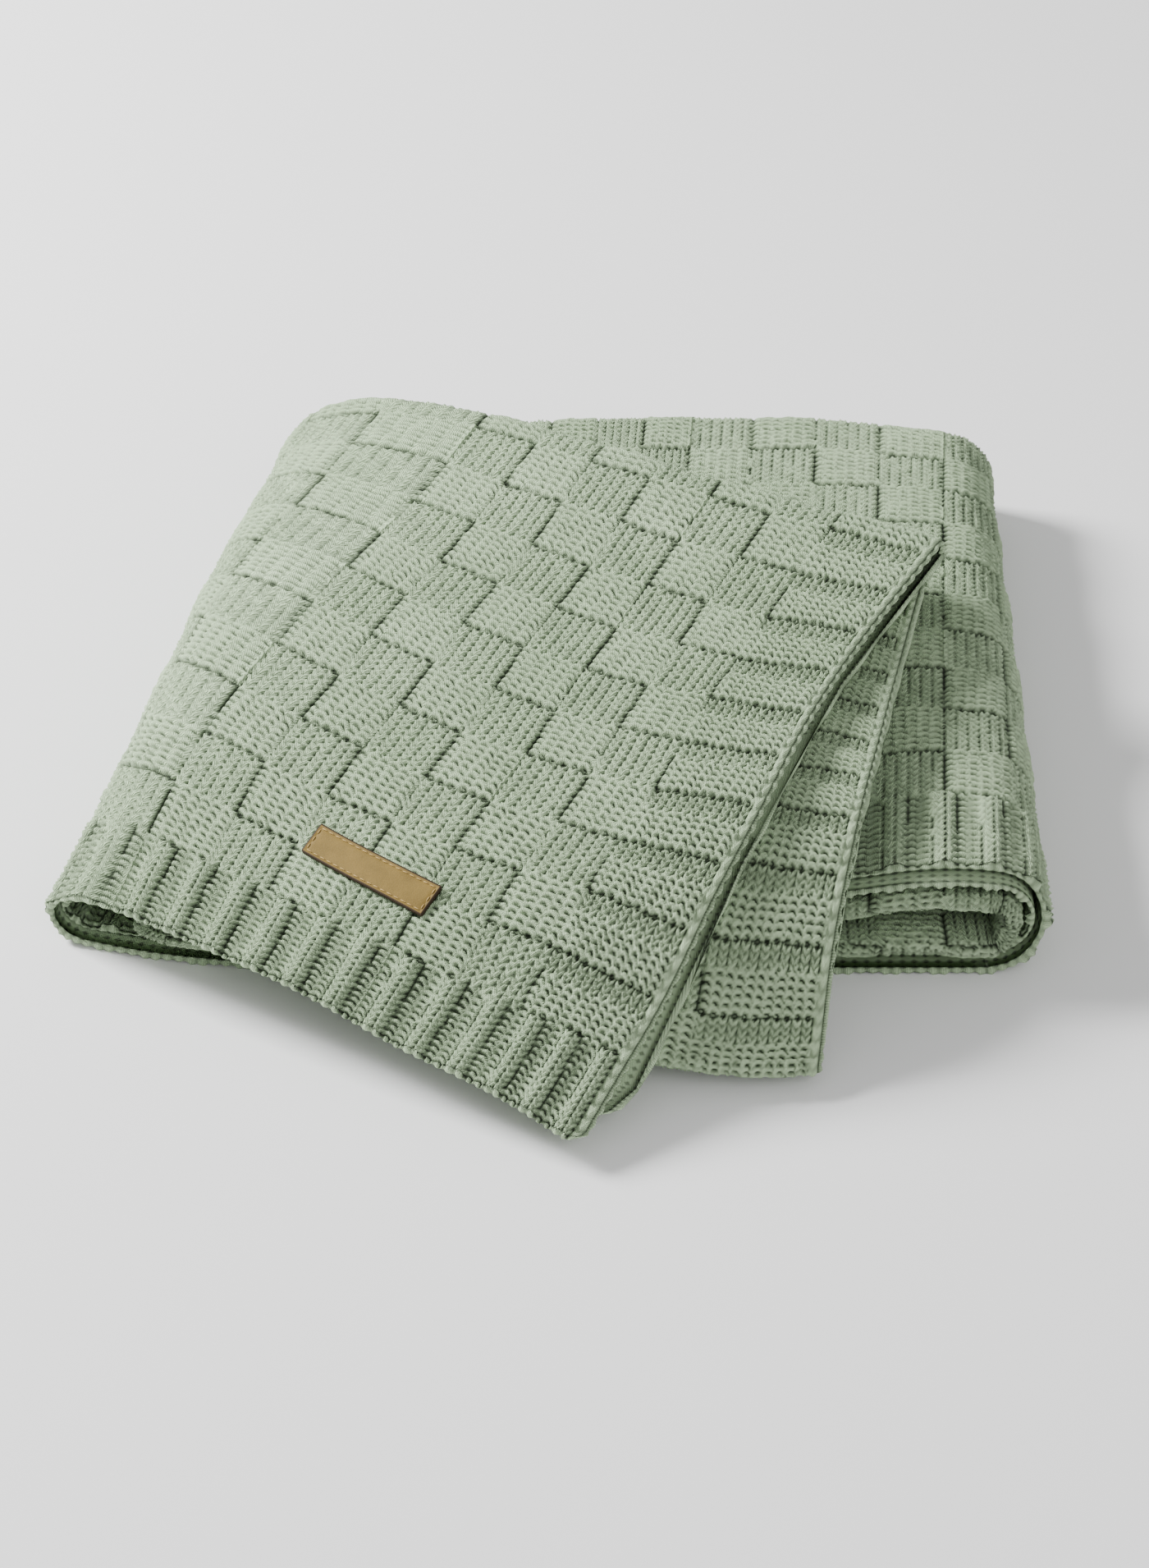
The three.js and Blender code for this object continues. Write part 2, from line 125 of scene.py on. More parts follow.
# Left-hand fold: the foot where the cloth leaves the surface and the edge where it stands furthest out
OUTER_FOLD = (
    {"depth": 0.0, "foot": (-65, 137), "edge": (-95, 149, 28)},
    {"depth": 0.2, "foot": (-80, 101), "edge": (-103.5, 110, 29)},
    {"depth": 0.4, "foot": (-91, 58), "edge": (-115, 66, 28)},
    {"depth": 0.6, "foot": (-101, 14), "edge": (-125, 20, 25)},
    {"depth": 0.8, "foot": (-117, -28), "edge": (-138.5, -28, 20)},
    {"depth": 0.9, "foot": (-129, -51), "edge": (-146, -50, 14)},
    {"depth": 1.0, "foot": (-141, -75.5), "edge": (-153.5, -70, 9)},
)
INNER_FOLD = (
    {"depth": 0.0, "foot": (-57, 135), "edge": (-84, 141, 28)},
    {"depth": 0.2, "foot": (-69, 98), "edge": (-94, 104, 28)},
    {"depth": 0.4, "foot": (-77, 56), "edge": (-102, 62, 27)},
    {"depth": 0.6, "foot": (-87, 12), "edge": (-111, 15, 24)},
    {"depth": 0.8, "foot": (-99, -32), "edge": (-116, -33, 18)},
    {"depth": 0.9, "foot": (-107, -56), "edge": (-120, -57, 15.5)},
    {"depth": 1.0, "foot": (-116, -81), "edge": (-127, -80, 13.5)},
)

# Left flap: the ends of each row of knitting and how far its middle hangs forward
OUTER_FLAP = (
    {"depth": 0.0, "left": (-29, 118), "right": (112, 43), "bow": 3},
    {"depth": 0.19, "left": (-49, 71), "right": (87, -3), "bow": 10},
    {"depth": 0.36, "left": (-69, 34), "right": (69, -40), "bow": 13},
    {"depth": 0.53, "left": (-88, -2), "right": (53, -78), "bow": 11},
    {"depth": 0.7, "left": (-108, -32), "right": (34, -112), "bow": 9},
    {"depth": 0.87, "left": (-123, -61), "right": (15, -142), "bow": 6},
    {"depth": 1.0, "left": (-132, -84), "right": (1, -164.5), "bow": 0},
)
INNER_FLAP = (
    {"depth": 0.0, "left": (-26, 116), "right": (108, 39), "bow": 2},
    {"depth": 0.25, "left": (-42, 62), "right": (97, -7), "bow": 2},
    {"depth": 0.5, "left": (-60, 8), "right": (87, -49), "bow": 2},
    {"depth": 0.7, "left": (-74, -34), "right": (79, -82), "bow": 6},
    {"depth": 0.85, "left": (-89, -64), "right": (72, -110), "bow": 12},
    {"depth": 1.0, "left": (-105, -88), "right": (68, -132), "bow": 17},
)
BORDER_SQUEEZE = 0.8

# Height of the top layer above the surface, a row for each Y and a column for each X
TOP_X = (-150, -100, -50, 0, 50, 100)
TOP_HEIGHT = (
    {"y": -165, "z": (10, 10, 10, 7, 5, 5)},
    {"y": -135, "z": (12, 14, 16, 23, 17, 12)},
    {"y": -105, "z": (16, 22, 33, 42, 43, 40)},
    {"y": -75, "z": (20, 33, 44, 51, 56, 56)},
    {"y": -40, "z": (28, 46, 53, 57, 59, 59)},
    {"y": 0, "z": (34, 54, 58, 59, 60, 60)},
    {"y": 60, "z": (38, 54, 58, 60, 60, 60)},
    {"y": 145, "z": (40, 48, 54, 58, 60, 60)},
)

# Rounded corner of each hem, in stitches and as a share of the depth
CORNER = {3: (1.8, 0.022), 2: (7, 0.085)}

# Rows of knitting at the ends of each layer, counted from the first hem
FRONT_FOLD_ROW = (194.5, 199.0)
LINING_BACK_ROW = (284.0, 298.0)

# Relief of the stitches, as shares of the stitch relief. Knit: two legs, with a dark dash on each side
LEG = {
    "rise": 0.85, "side": 0.5, "crease": 0.24, "crease_width": 0.2,
    "waves": 0.6, "filled": 0.36, "early": 0.1,
}
# Purl: a wavy rope along each row, with a hole under each bump
ROPE = {"sway": 0.2, "low": 0.2, "slant": -0.45, "lean": 0.12}
HOLE = {"s": 0.5, "t": 0.2, "slant": -0.5, "wide": 0.38, "tall": 0.19, "deep": 0.78, "early": 0.08}
# Grooves along the right side of each knit block, along its left side, and under each purl block
GROOVE = {
    "right": 0.6, "left": 0.12, "width": 0.28, "hem_share": 0.9,
    "under": 0.65, "under_at": 0.85, "under_width": 0.28, "under_low": 0.45,
}
# Selvage: a chain of links that slant outwards
CHAIN = {"low": 0.35, "round": 0.6, "gap": 0.25, "slant": 0.8}
# Relief fades out as points come to lie this far apart, in stitches or rows
FADE = {"stitch": (0.45, 0.3), "row": (0.5, 0.35), "block": (3.5, 2.0)}
MEAN_RELIEF = 0.75
# Painted shade in the holes begins below this share of the stitch height, and more shade is painted where
# ribs and ridges are sunk
HOLE_SHADE_BELOW = 0.75
RECESS_SHADE = 0.3
JITTER = 0.16
RIDGE_SHARE = 1.5
RIB_SHARE = 2.3
RIM_ANGLES = (45, 90, 135)
RIM_LOW = 0.72
# Painted shade in the dips between the bumps along the rim
RIM_SHADE = 0.45
SLOW_RELIEF = 0.25
SEED = 7

# Steps between points, in stitches or rows
FINE = 0.25
FINEST = 1 / 6

# Shading: the share that varies slowly, the yarn's plies with painted shade between them, and the holes of
# the wrong side, painted as shade
SLOW_SHARE = 0.55
PLY = {"count": 3, "slant": 2.4, "tone": 0.2, "bump": 0.3}
BACK_HOLE = {"narrow": 1.1, "darkest": 0.6, "bump": 1.5}

# The tag: its middle and the direction of its long side, in stitches and rows
TAG_AT = {"stitch": 187.1, "row": 20.3}
TAG_TURN = math.radians(5)
TAG_SCALE = {"stitch": 3.6, "row": 2.13}
TAG_REACH = 4.0
TAG_LOW = 1.5
TAG_EDGE = 0.4
TAG_CORNER = 0.8
TAG_RIM = (0, 0.06, 0.14, 0.25, 0.4, 0.5, 0.65, 0.85, 1.05, 1.25, 1.45, 1.7)
TAG_STEP = 0.7
TAG_DARK = (0.7, 0.4)

# The sewing on the tag, in millimetres
SEAM = {"inset": 1.25, "dent": 0.12, "dent_width": 0.35}
THREAD = {
    "stitch": 1.7, "gap": 0.7, "radius": 0.16, "thin": 0.55,
    "sunk": 0.06, "bow": 0.17, "sides": 8, "stops": 7,
}

# Studio
FLOOR_SIZE = 12
WORLD_LIGHT = 0.5
KEY_LIGHT = {"where": (-1.2, 0.5, 0.92), "size": 0.5}
FILL_LIGHT = {"where": (0.8, -1.2, 1.2), "size": 1.2}
SENSOR = 36
LENS = 79.16


def mix(a, b, t):
    return a + (b - a) * t


def clamp(t):
    return np.clip(t, 0.0, 1.0)


def soft(a, b, t):
    s = clamp((t - a) / (b - a))
    return s * s * (3 - 2 * s)


def through(stations, values, at):
    """Smooth curve through values given at rising stations. A value may itself be an array like at."""
    stations = np.asarray(stations, float)
    values = np.asarray(values, float)
    at = np.asarray(at, float)
    last = len(stations) - 1
    i = np.searchsorted(stations[1:last], at, side="left")

    def value(k):
        return values[k] if values.ndim == 1 else np.take_along_axis(values, k[None], 0)[0]

    def slope(k):
        a = np.maximum(0, k - 1)
        b = np.minimum(last, k + 1)
        return (value(b) - value(a)) / (stations[b] - stations[a])

    span = stations[i + 1] - stations[i]
    t = clamp((at - stations[i]) / span)
    rise = value(i + 1) - value(i)
    bend = (slope(i) * span - rise) * (1 - t) - (slope(i + 1) * span - rise) * t
    return value(i) + rise * t + bend * t * (1 - t)


def read(table, key, axis, depth):
    """One column of a table of sections, read at a depth."""
    values = [row[key] if axis is None else row[key][axis] for row in table]
    return through([row["depth"] for row in table], values, depth)


def points(x, y, z):
    return np.stack(np.broadcast_arrays(x, y, z), -1)


def pitch_at(x, depth):
    """Distance between layers: they lie closer towards the front left corner."""
    return mix(PITCH, FRONT_LEFT_PITCH, soft(*CLOSER["x"], x) * soft(*CLOSER["depth"], depth))


def depth_of_y(y):
    return clamp((FLAP_BACK_Y - y) / (FLAP_BACK_Y - FRONT_Y))


def top_height(x, y):
    rows = [through(TOP_X, row["z"], x) for row in TOP_HEIGHT]
    return through([row["y"] for row in TOP_HEIGHT], rows, y)


def middle_height(level, x, depth):
    return LAYER_BASE + (OUTER_LEVEL - level) * pitch_at(x, depth)


def flap_height(level, x, depth):
    bump = MOUTH["height"] * np.exp(-(((x - MOUTH["x"]) / MOUTH["spread"]) ** 2))
    gap = mix(MOUTH["back"] * soft(*MOUTH["back_x"], x), bump, soft(0, MOUTH["opens_by"], depth))
    return LAYER_BASE + gap + (OUTER_LEVEL + 1 + level) * pitch_at(x, depth)


def is_outer(level):
    return level > INNER_PAIR_TOP


def axis_x(depth):
    return mix(RIGHT_AXIS["back"], RIGHT_AXIS["front"], depth)


def corner_draw(x, depth):
    """How far the back right corner is rounded off."""
    return BACK_CORNER["drawn_in"] * soft(BACK_CORNER["from"], BACK_CORNER["to"], x) * (1 - depth) ** 3


def turn_start(depth):
    return mix(RIGHT_TURN_START["back"], RIGHT_TURN_START["front"], depth)


def foot_stitch(depth):
    return mix(FOOT_STITCH["back"], FOOT_STITCH["front"], depth)


def right_flap(level, stitch, depth):
    """Right flap, from its hidden selvage to the right-hand fold."""
    shown = np.maximum(stitch, HIDDEN_STITCHES)
    squeeze = mix(HIDDEN_SQUEEZE["back"], HIDDEN_SQUEEZE["front"], depth)
    hidden = np.maximum(0, HIDDEN_STITCHES - stitch) * squeeze
    x = axis_x(depth) - (turn_start(depth) - shown + hidden) * STITCH
    y = mix(FLAP_BACK_Y, FLAP_FRONT[level], depth) - corner_draw(x, depth)
    return points(x, y, flap_height(level, x, depth))


def middle(level, stitch, depth):
    """Middle third, flat on the surface."""
    start = turn_start(depth) + RIGHT_TURN_STITCHES
    table = OUTER_FOLD if is_outer(level) else INNER_FOLD
    t = clamp((stitch - start) / (foot_stitch(depth) - start))
    x = mix(axis_x(depth), read(table, "foot", 0, depth), t)
    straight = mix(MIDDLE_BACK_Y, MIDDLE_FRONT[level], depth)
    blend = mix(FOOT_BLEND["back"], FOOT_BLEND["front"], depth)
    y = mix(straight, read(table, "foot", 1, depth), t**blend)
    return points(x, y, middle_height(level, x, depth))


def right_turn(level, stitch, depth):
    """Right-hand fold, each layer round the one inside it."""
    start = turn_start(depth)
    angle = math.pi * (start + RIGHT_TURN_STITCHES - stitch) / RIGHT_TURN_STITCHES
    low = middle(level, start + RIGHT_TURN_STITCHES, depth)
    high = right_flap(level, start, depth)
    turn = (1 - np.cos(angle)) / 2
    x = axis_x(depth) + (RIGHT_INNER_REACH + level * PITCH) * np.sin(angle)
    y = mix(low[..., 1], high[..., 1], turn)
    y = y - (corner_draw(x, depth) - corner_draw(axis_x(depth), depth))
    return points(x, y, mix(low[..., 2], high[..., 2], turn))


def across_flap(stitch):
    edge = STITCHES - BORDER
    whole = edge - FLAP_STITCH + BORDER * BORDER_SQUEEZE
    check = np.minimum(stitch, edge) - FLAP_STITCH
    return (check + np.maximum(0, stitch - edge) * BORDER_SQUEEZE) / whole


def left_flap(level, stitch, depth):
    """Left flap, laid over the stack at an angle."""
    table = OUTER_FLAP if is_outer(level) else INNER_FLAP
    across = across_flap(stitch)
    bow = read(table, "bow", None, depth) * 4 * across * (1 - across)
    left = [read(table, "left", axis, depth) for axis in (0, 1)]
    right = [read(table, "right", axis, depth) for axis in (0, 1)]
    if level == LINING_LEVEL:
        reach = mix(LINING_REACH["back"], LINING_REACH["front"], soft(*LINING_REACH["depth"], depth))
        across = across * (1 + reach / np.hypot(right[0] - left[0], right[1] - left[1]))
    x = mix(left[0], right[0], across)
    y = mix(left[1], right[1], across) - bow
    pitch = pitch_at(x, depth_of_y(y))
    return points(x, y, top_height(x, y) - (OUTER_LEVEL - level) * pitch)


def bezier(a, b, c, d, t):
    t = t[..., None]
    s = 1 - t
    return s * s * s * a + 3 * s * s * t * b + 3 * s * t * t * c + t * t * t * d


def left_turn(level, stitch, depth):
    """Left-hand fold: a quarter turn from the foot to the edge, and another from the edge to the flap."""
    foot_at = foot_stitch(depth)
    edge_at = mix(EDGE_STITCH["back"], EDGE_STITCH["front"], depth)
    table = OUTER_FOLD if is_outer(level) else INNER_FOLD
    foot = middle(level, foot_at, depth)
    edge = points(*(read(table, "edge", axis, depth) for axis in range(3)))
    if level in (LINING_LEVEL, 0):
        away = np.hypot(foot[..., 0] - edge[..., 0], foot[..., 1] - edge[..., 1])
        inwards = pitch_at(edge[..., 0], depth) / away
        edge[..., :2] = mix(edge[..., :2], foot[..., :2], inwards[..., None])
    reach = np.hypot(edge[..., 0] - foot[..., 0], edge[..., 1] - foot[..., 1]) * ROUND
    from_foot = points(foot[..., 0] - reach, foot[..., 1], foot[..., 2])
    rise = (edge[..., 2] - foot[..., 2]) * ROUND
    under_edge = points(edge[..., 0], edge[..., 1], edge[..., 2] - rise)
    low = bezier(foot, from_foot, under_edge, edge, clamp((stitch - foot_at) / (edge_at - foot_at)))

    flap = left_flap(level, np.full_like(depth, FLAP_STITCH), depth)
    run = left_flap(level, np.full_like(depth, FLAP_STITCH + FLAP_RUN), depth) - flap
    reach = np.hypot(edge[..., 0] - flap[..., 0], edge[..., 1] - flap[..., 1]) * ROUND
    to_flap = flap - run * (reach / np.linalg.norm(run, axis=-1))[..., None]
    rise = np.maximum(1, to_flap[..., 2] - edge[..., 2]) * ROUND
    over_edge = points(edge[..., 0], edge[..., 1], edge[..., 2] + rise)
    high = bezier(edge, over_edge, to_flap, flap, clamp((stitch - edge_at) / (FLAP_STITCH - edge_at)))
    return np.where((stitch <= edge_at)[..., None], low, high)


def depth_in_layer(level, stitch, depth):
    """The lining's own depth: its hem is set back where it shows on the left."""
    if level != LINING_LEVEL:
        return depth
    at_fold = LINING_SET_BACK["fold"] * soft(*LINING_SET_BACK["stitches"], stitch)
    set_back = mix(at_fold, LINING_SET_BACK["selvage"], soft(FLAP_STITCH, STITCHES, stitch))
    return depth - set_back * soft(*LINING_SET_BACK["depth"], depth)


def place(level, stitch, depth):
    """A place on the middle surface of one layer, in millimetres."""
    stitch, depth = (np.array(v, float) for v in np.broadcast_arrays(stitch, depth))
    depth = depth_in_layer(level, stitch, depth)
    start = turn_start(depth)
    parts = (
        (stitch <= start, right_flap),
        (stitch < start + RIGHT_TURN_STITCHES, right_turn),
        (stitch <= foot_stitch(depth), middle),
        (stitch < FLAP_STITCH, left_turn),
        (np.ones(stitch.shape, bool), left_flap),
    )
    out = np.empty(stitch.shape + (3,))
    free = np.ones(stitch.shape, bool)
    for test, shape in parts:
        here = free & test
        if here.any():
            out[here] = shape(level, stitch[here], depth[here])
        free &= ~test
    return out


def smooth_place(level, stitch, depth):
    """place(), with the kinks where its parts meet rounded over a stitch or so."""
    room = np.minimum(KINK_STITCHES, np.minimum(stitch, STITCHES - stitch))
    sides = place(level, stitch - room, depth) + place(level, stitch + room, depth)
    return (2 * place(level, stitch, depth) + sides) / 4


def rows_in_layer(stitch):
    return mix(BACK_ROW["right"], BACK_ROW["left"], soft(*BACK_ROW["stitches"], stitch))


def length_turn(low, high, stitch, depth, share):
    """Half circle round the end of the layers, from one to the other."""
    a = smooth_place(low, stitch, depth)
    b = smooth_place(high, stitch, depth)
    step = -TURN_STEP if depth > 0.5 else TURN_STEP
    top = max(low, high)
    way = smooth_place(top, stitch, depth) - smooth_place(top, stitch, depth + step)
    way[..., 2] *= TURN_DROOP
    out = way / np.linalg.norm(way, axis=-1, keepdims=True)
    radius = np.linalg.norm(a - b, axis=-1) / 2
    angle = math.pi * share
    around = (a - b) / 2 * np.cos(angle)[..., None] + out * (radius * np.sin(angle))[..., None]
    return (a + b) / 2 + around


def layer(level, stops):
    """Part of a piece: one layer, at stops given as rows from its front end, in the cloth's order."""
    return {"level": level, "stops": stops}


def turn(low, high, depth, count):
    """Part of a piece: the turn between two layers at their back (depth 0) or front (depth 1) end."""
    return {"low": low, "high": high, "depth": depth, "shares": np.arange(1, count) / count}


def row_of(level, stitch, depth):
    """The row of knitting at a depth of a layer, counted along the whole cloth."""
    whole = rows_in_layer(stitch)
    if level == 3:
        return (1 - depth) * whole
    if level == 0:
        return mix(whole + TURN_ROWS, FRONT_FOLD_ROW[0], depth)
    if level == 1:
        return mix(LINING_BACK_ROW[0], FRONT_FOLD_ROW[1], depth)
    return mix(LINING_BACK_ROW[1], ROWS, depth)


def round_corner(level, stitch, depth):
    """Draws the corner between the hem and the far selvage in, so that it is rounded."""
    if level not in CORNER:
        return stitch, depth
    wide, tall = CORNER[level]
    a = clamp(1 - (STITCHES - stitch) / wide)
    b = clamp(1 - (1 - depth) / tall)
    shorter = a * (1 - np.sqrt(1 - b * b / 2)), b * (1 - np.sqrt(1 - a * a / 2))
    return stitch - shorter[0] * wide, depth - shorter[1] * tall


def lay(parts, stitches):
    """The middle surface of a piece as a grid, with the row of knitting of each point."""
    grids = []
    rows = []
    for part in parts:
        if "level" in part:
            stops = part["stops"][:, None]
            whole = rows_in_layer(stitches)[None, :]
            stretched = PLAIN_ROWS + (stops - PLAIN_ROWS) / END_ROWS * (whole - PLAIN_ROWS)
            depth = clamp(1 - np.where(stops <= PLAIN_ROWS, stops, stretched) / whole)
            across = np.broadcast_to(stitches[None, :], depth.shape)
            grids.append(smooth_place(part["level"], *round_corner(part["level"], across, depth)))
            rows.append(row_of(part["level"], across, depth))
        else:
            share, across = np.broadcast_arrays(part["shares"][:, None], stitches[None, :])
            start = row_of(part["low"], across, part["depth"])
            end = row_of(part["high"], across, part["depth"])
            grids.append(length_turn(part["low"], part["high"], across, part["depth"], share))
            rows.append(mix(start, end, share))
    return np.concatenate(grids), np.concatenate(rows)


def is_hem(line):
    return (line < HEM_ROWS) | (line >= ROWS - HEM_ROWS)


def is_purl(column, line):
    """True where a whole stitch shows as purl on the right side."""
    check = ((column - BORDER) // BLOCK_STITCHES + (line - HEM_ROWS) // BLOCK_ROWS) % 2 == 0
    ridge = (line - HEM_ROWS) % BLOCK_ROWS < RIDGE_ROWS
    in_middle = (column % RIB_REPEAT == 1) | (column % RIB_REPEAT == 2)
    rib = in_middle == (column < STITCHES / 2)
    at_side = (column < BORDER) | (column >= STITCHES - BORDER)
    return np.where(is_hem(line), rib, np.where(at_side, ridge, check))


RANDOM = np.random.default_rng(SEED)
UNEVEN = RANDOM.uniform(-1, 1, (3, ROWS + 16, STITCHES + 2))


def bell(distance, width):
    return np.exp(-((distance / width) ** 2))


def wander(stitch, row):
    """The yarn's small shifts across and along, in stitches and rows, none at the cloth's edges."""
    to_edge = np.minimum(np.minimum(stitch, STITCHES - stitch), np.minimum(row, ROWS - row))
    inside = clamp(to_edge / 2 - 0.5)
    across = 0.06 * np.sin(row / 4.1 + 1.7 * np.sin(stitch / 4.3))
    across = across + 0.03 * np.sin(1.3 * row + 2.1 * stitch)
    along = 0.14 * np.sin(stitch / 2.7 + 1.9 * np.sin(row / 5.3))
    along = along + 0.1 * np.sin(1.9 * stitch - 0.8 * row)
    return inside * across, inside * along


def to_whole(value):
    """Distance to the nearest whole number."""
    return np.abs((value + 0.5) % 1 - 0.5)


def knit_height(s, t, early):
    """Two legs that lean out from the middle of the stitch, with a gap between its neighbours."""
    fold = np.abs(2 * s - 1)
    strand = np.cos(2 * math.pi * (t - LEG["rise"] * fold + LEG["early"] * early))
    into_leg = clamp((1 - fold) / LEG["side"])
    legs = np.sin(math.pi / 2 * into_leg) - LEG["crease"] * bell(fold, LEG["crease_width"])
    filled = LEG["filled"] * (0.5 + 0.5 * strand) * (1 - into_leg)
    return np.maximum(0, legs * (1 - LEG["waves"] / 2 * (1 - strand)) + filled)


def purl_height(s, t, lean, early):
    """One bump of the wavy rope, with a slanting hole under it."""
    slant = ROPE["slant"] + ROPE["lean"] * lean
    rope = 0.5 + ROPE["sway"] * np.cos(2 * math.pi * (s - 0.5)) + slant * (s - 0.5)
    arc = ROPE["low"] + (1 - ROPE["low"]) * np.sqrt(clamp(1 - (2 * to_whole(t - rope)) ** 2))
    down = to_whole(t - HOLE["t"] - HOLE["slant"] * (s - 0.5))
    hole = bell(s - HOLE["s"] + HOLE["early"] * early, HOLE["wide"]) * bell(down, HOLE["tall"])
    return arc - HOLE["deep"] * hole


def groove_depth(column, line, s, t, purl):
    """Grooves where knit and purl meet."""
    right = (is_purl(column + 1, line) & ~purl) * bell(1 - s, GROOVE["width"])
    right = right + (~is_purl(column - 1, line) & purl) * bell(s, GROOVE["width"])
    right = right * np.where(is_hem(line), GROOVE["hem_share"], 1)
    left = (is_purl(column - 1, line) & ~purl) * bell(s, GROOVE["width"] / 2)
    under = (is_purl(column, line + 1) & ~purl) * bell(t - GROOVE["under_at"], GROOVE["under_width"])
    under = under * mix(GROOVE["under_low"], 1, bell(s - 0.5, GROOVE["under_width"]))
    return GROOVE["right"] * right + GROOVE["left"] * left + GROOVE["under"] * under


def chain_height(edge, row):
    """The selvage is a chain of long stitches, each over two rows."""
    link = 0.5 + 0.5 * np.cos(math.pi * (row - CHAIN["slant"] * np.abs(2 * edge - 1)))
    girth = np.sin(math.pi * clamp(edge)) ** CHAIN["round"]
    return mix(CHAIN["low"], 1, girth * mix(CHAIN["gap"], 1, link))


def stitch_shape(stitch, row):
    """Height of one stitch, from 0 in a hole to about 1 on top of the yarn."""
    across, along = wander(stitch, row)
    column = np.floor(stitch + across + 1e-6)
    line = np.floor(row + along + 1e-6)
    s = stitch + across - column
    t = row + along - line
    purl = is_purl(column, line)
    at = (line.astype(int) % UNEVEN.shape[1], column.astype(int) % UNEVEN.shape[2])
    tall, lean, early = (noise[at] for noise in UNEVEN)
    height = np.where(purl, purl_height(s, t, lean, early), knit_height(s, t, early))
    height = height * (1 + JITTER * tall) - groove_depth(column, line, s, t, purl)
    edge = np.maximum(SELVAGE - stitch, stitch - (STITCHES - SELVAGE)) / SELVAGE
    return np.where(edge > 0, chain_height(edge, row), np.maximum(height, 0))


def hole_shade_of(shape):
    """Painted shade at a place between the stitches, darker the lower its height."""
    return clamp((HOLE_SHADE_BELOW - shape) / HOLE_SHADE_BELOW) ** 1.2


def in_bands(value, wide, whole):
    """1 in the bands along both ends of a count, and 0 between them."""
    return soft(wide + 0.5, wide - 0.5, value) + soft(whole - wide - 0.5, whole - wide + 0.5, value)


def block_shape(stitch, row):
    """Height of the blocks, ribs and ridges: from -1 to 1 in the check, and more in ribs and ridges."""
    up_row = row - HEM_ROWS
    check = np.sin(math.pi * (stitch - BORDER) / BLOCK_STITCHES) * np.sin(math.pi * up_row / BLOCK_ROWS)
    in_ridge = up_row % BLOCK_ROWS
    ridge = np.where(
        in_ridge < RIDGE_ROWS,
        np.sin(math.pi * in_ridge / RIDGE_ROWS),
        -np.sin(math.pi * (in_ridge - RIDGE_ROWS) / (BLOCK_ROWS - RIDGE_ROWS)),
    )
    rib = np.cos(2 * math.pi * stitch / RIB_REPEAT) * np.where(stitch < STITCHES / 2, 1, -1)
    height = mix(check, RIDGE_SHARE * ridge, in_bands(stitch, BORDER, STITCHES))
    height = mix(height, RIB_SHARE * rib, in_bands(row, HEM_ROWS, ROWS))
    return mix(height, 0, in_bands(stitch, SELVAGE, STITCHES))


def unevenness(stitch, row):
    """Slow rise and fall of soft cloth, from about -1 to 1."""
    a = np.sin(stitch / 5.1 + 0.7 * np.sin(row / 13.0)) * np.sin(row / 7.7 + 1.3)
    b = np.sin(stitch / 11.3 + 2.1 + np.sin(row / 21.0)) * np.cos(row / 17.1)
    return (a + b) / 2


def unit(v):
    return v / np.maximum(np.linalg.norm(v, axis=-1, keepdims=True), 1e-9)


def ring(count, columns):
    """Grid indices round the rim of a grid, as lines and columns."""
    path = [(0, i) for i in range(columns - 1)]
    path += [(j, columns - 1) for j in range(count - 1)]
    path += [(count - 1, i) for i in range(columns - 1, 0, -1)]
    path += [(j, 0) for j in range(count - 1, 0, -1)]
    return np.array(path).T


def quads_between(number, flipped=False):
    """Quads of a grid of point numbers."""
    a, b, c, d = number[:-1, :-1], number[1:, :-1], number[1:, 1:], number[:-1, 1:]
    return np.stack([a, d, c, b] if flipped else [a, b, c, d], -1).reshape(-1, 4)


def quads_round(inner, outer):
    """Quads between two closed rings of point numbers."""
    return np.stack([inner, np.roll(inner, -1), np.roll(outer, -1), outer], -1)


class Points:
    """The points of a piece, gathered part by part, with their place in the knitting and their masks:
    painted shade and the wrong side.
    """

    def __init__(self):
        self.where, self.uv, self.painted_shade_and_burnish, self.back = [], [], [], []
        self.count = 0

    def add(self, where, stitch, row, painted_shade_and_burnish, back):
        """Takes points in and gives their numbers, laid out as they are."""
        shape = where.shape[:-1]
        self.where.append(where.reshape(-1, 3))
        self.uv.append(np.stack([stitch / STITCHES, row / ROWS], -1).reshape(-1, 2))
        self.painted_shade_and_burnish.append(np.broadcast_to(painted_shade_and_burnish, shape).ravel())
        self.back.append(np.broadcast_to(float(back), shape).ravel())
        number = self.count + np.arange(math.prod(shape)).reshape(shape)
        self.count += number.size
        return number

    def build(self, name, quads, triangles):
        where, uv = np.concatenate(self.where), np.concatenate(self.uv)
        masks = {"painted_shade_and_burnish": np.concatenate(self.painted_shade_and_burnish), "back": np.concatenate(self.back)}
        return build(name, where, np.concatenate(quads), triangles, uv, masks)


def surface(parts, stitches):
    """The middle surface of a piece, its rows, its normals and its steps along and across."""
    # Where the cloth goes on in the next piece, one more column is laid, so that the normals match there
    before = [stitches[0] - 0.5] if stitches[0] > 0 else []
    after = [stitches[-1] + 0.5] if stitches[-1] < STITCHES else []
    wide = np.array([*before, *stitches, *after])
    grid, rows = lay(parts, wide)
    along = np.gradient(grid, axis=0)
    across = np.gradient(grid, axis=1)
    normal = -unit(np.cross(along, across))
    keep = slice(len(before), len(wide) - len(after))
    return [v[:, keep] for v in (grid, rows, normal, along, across)]


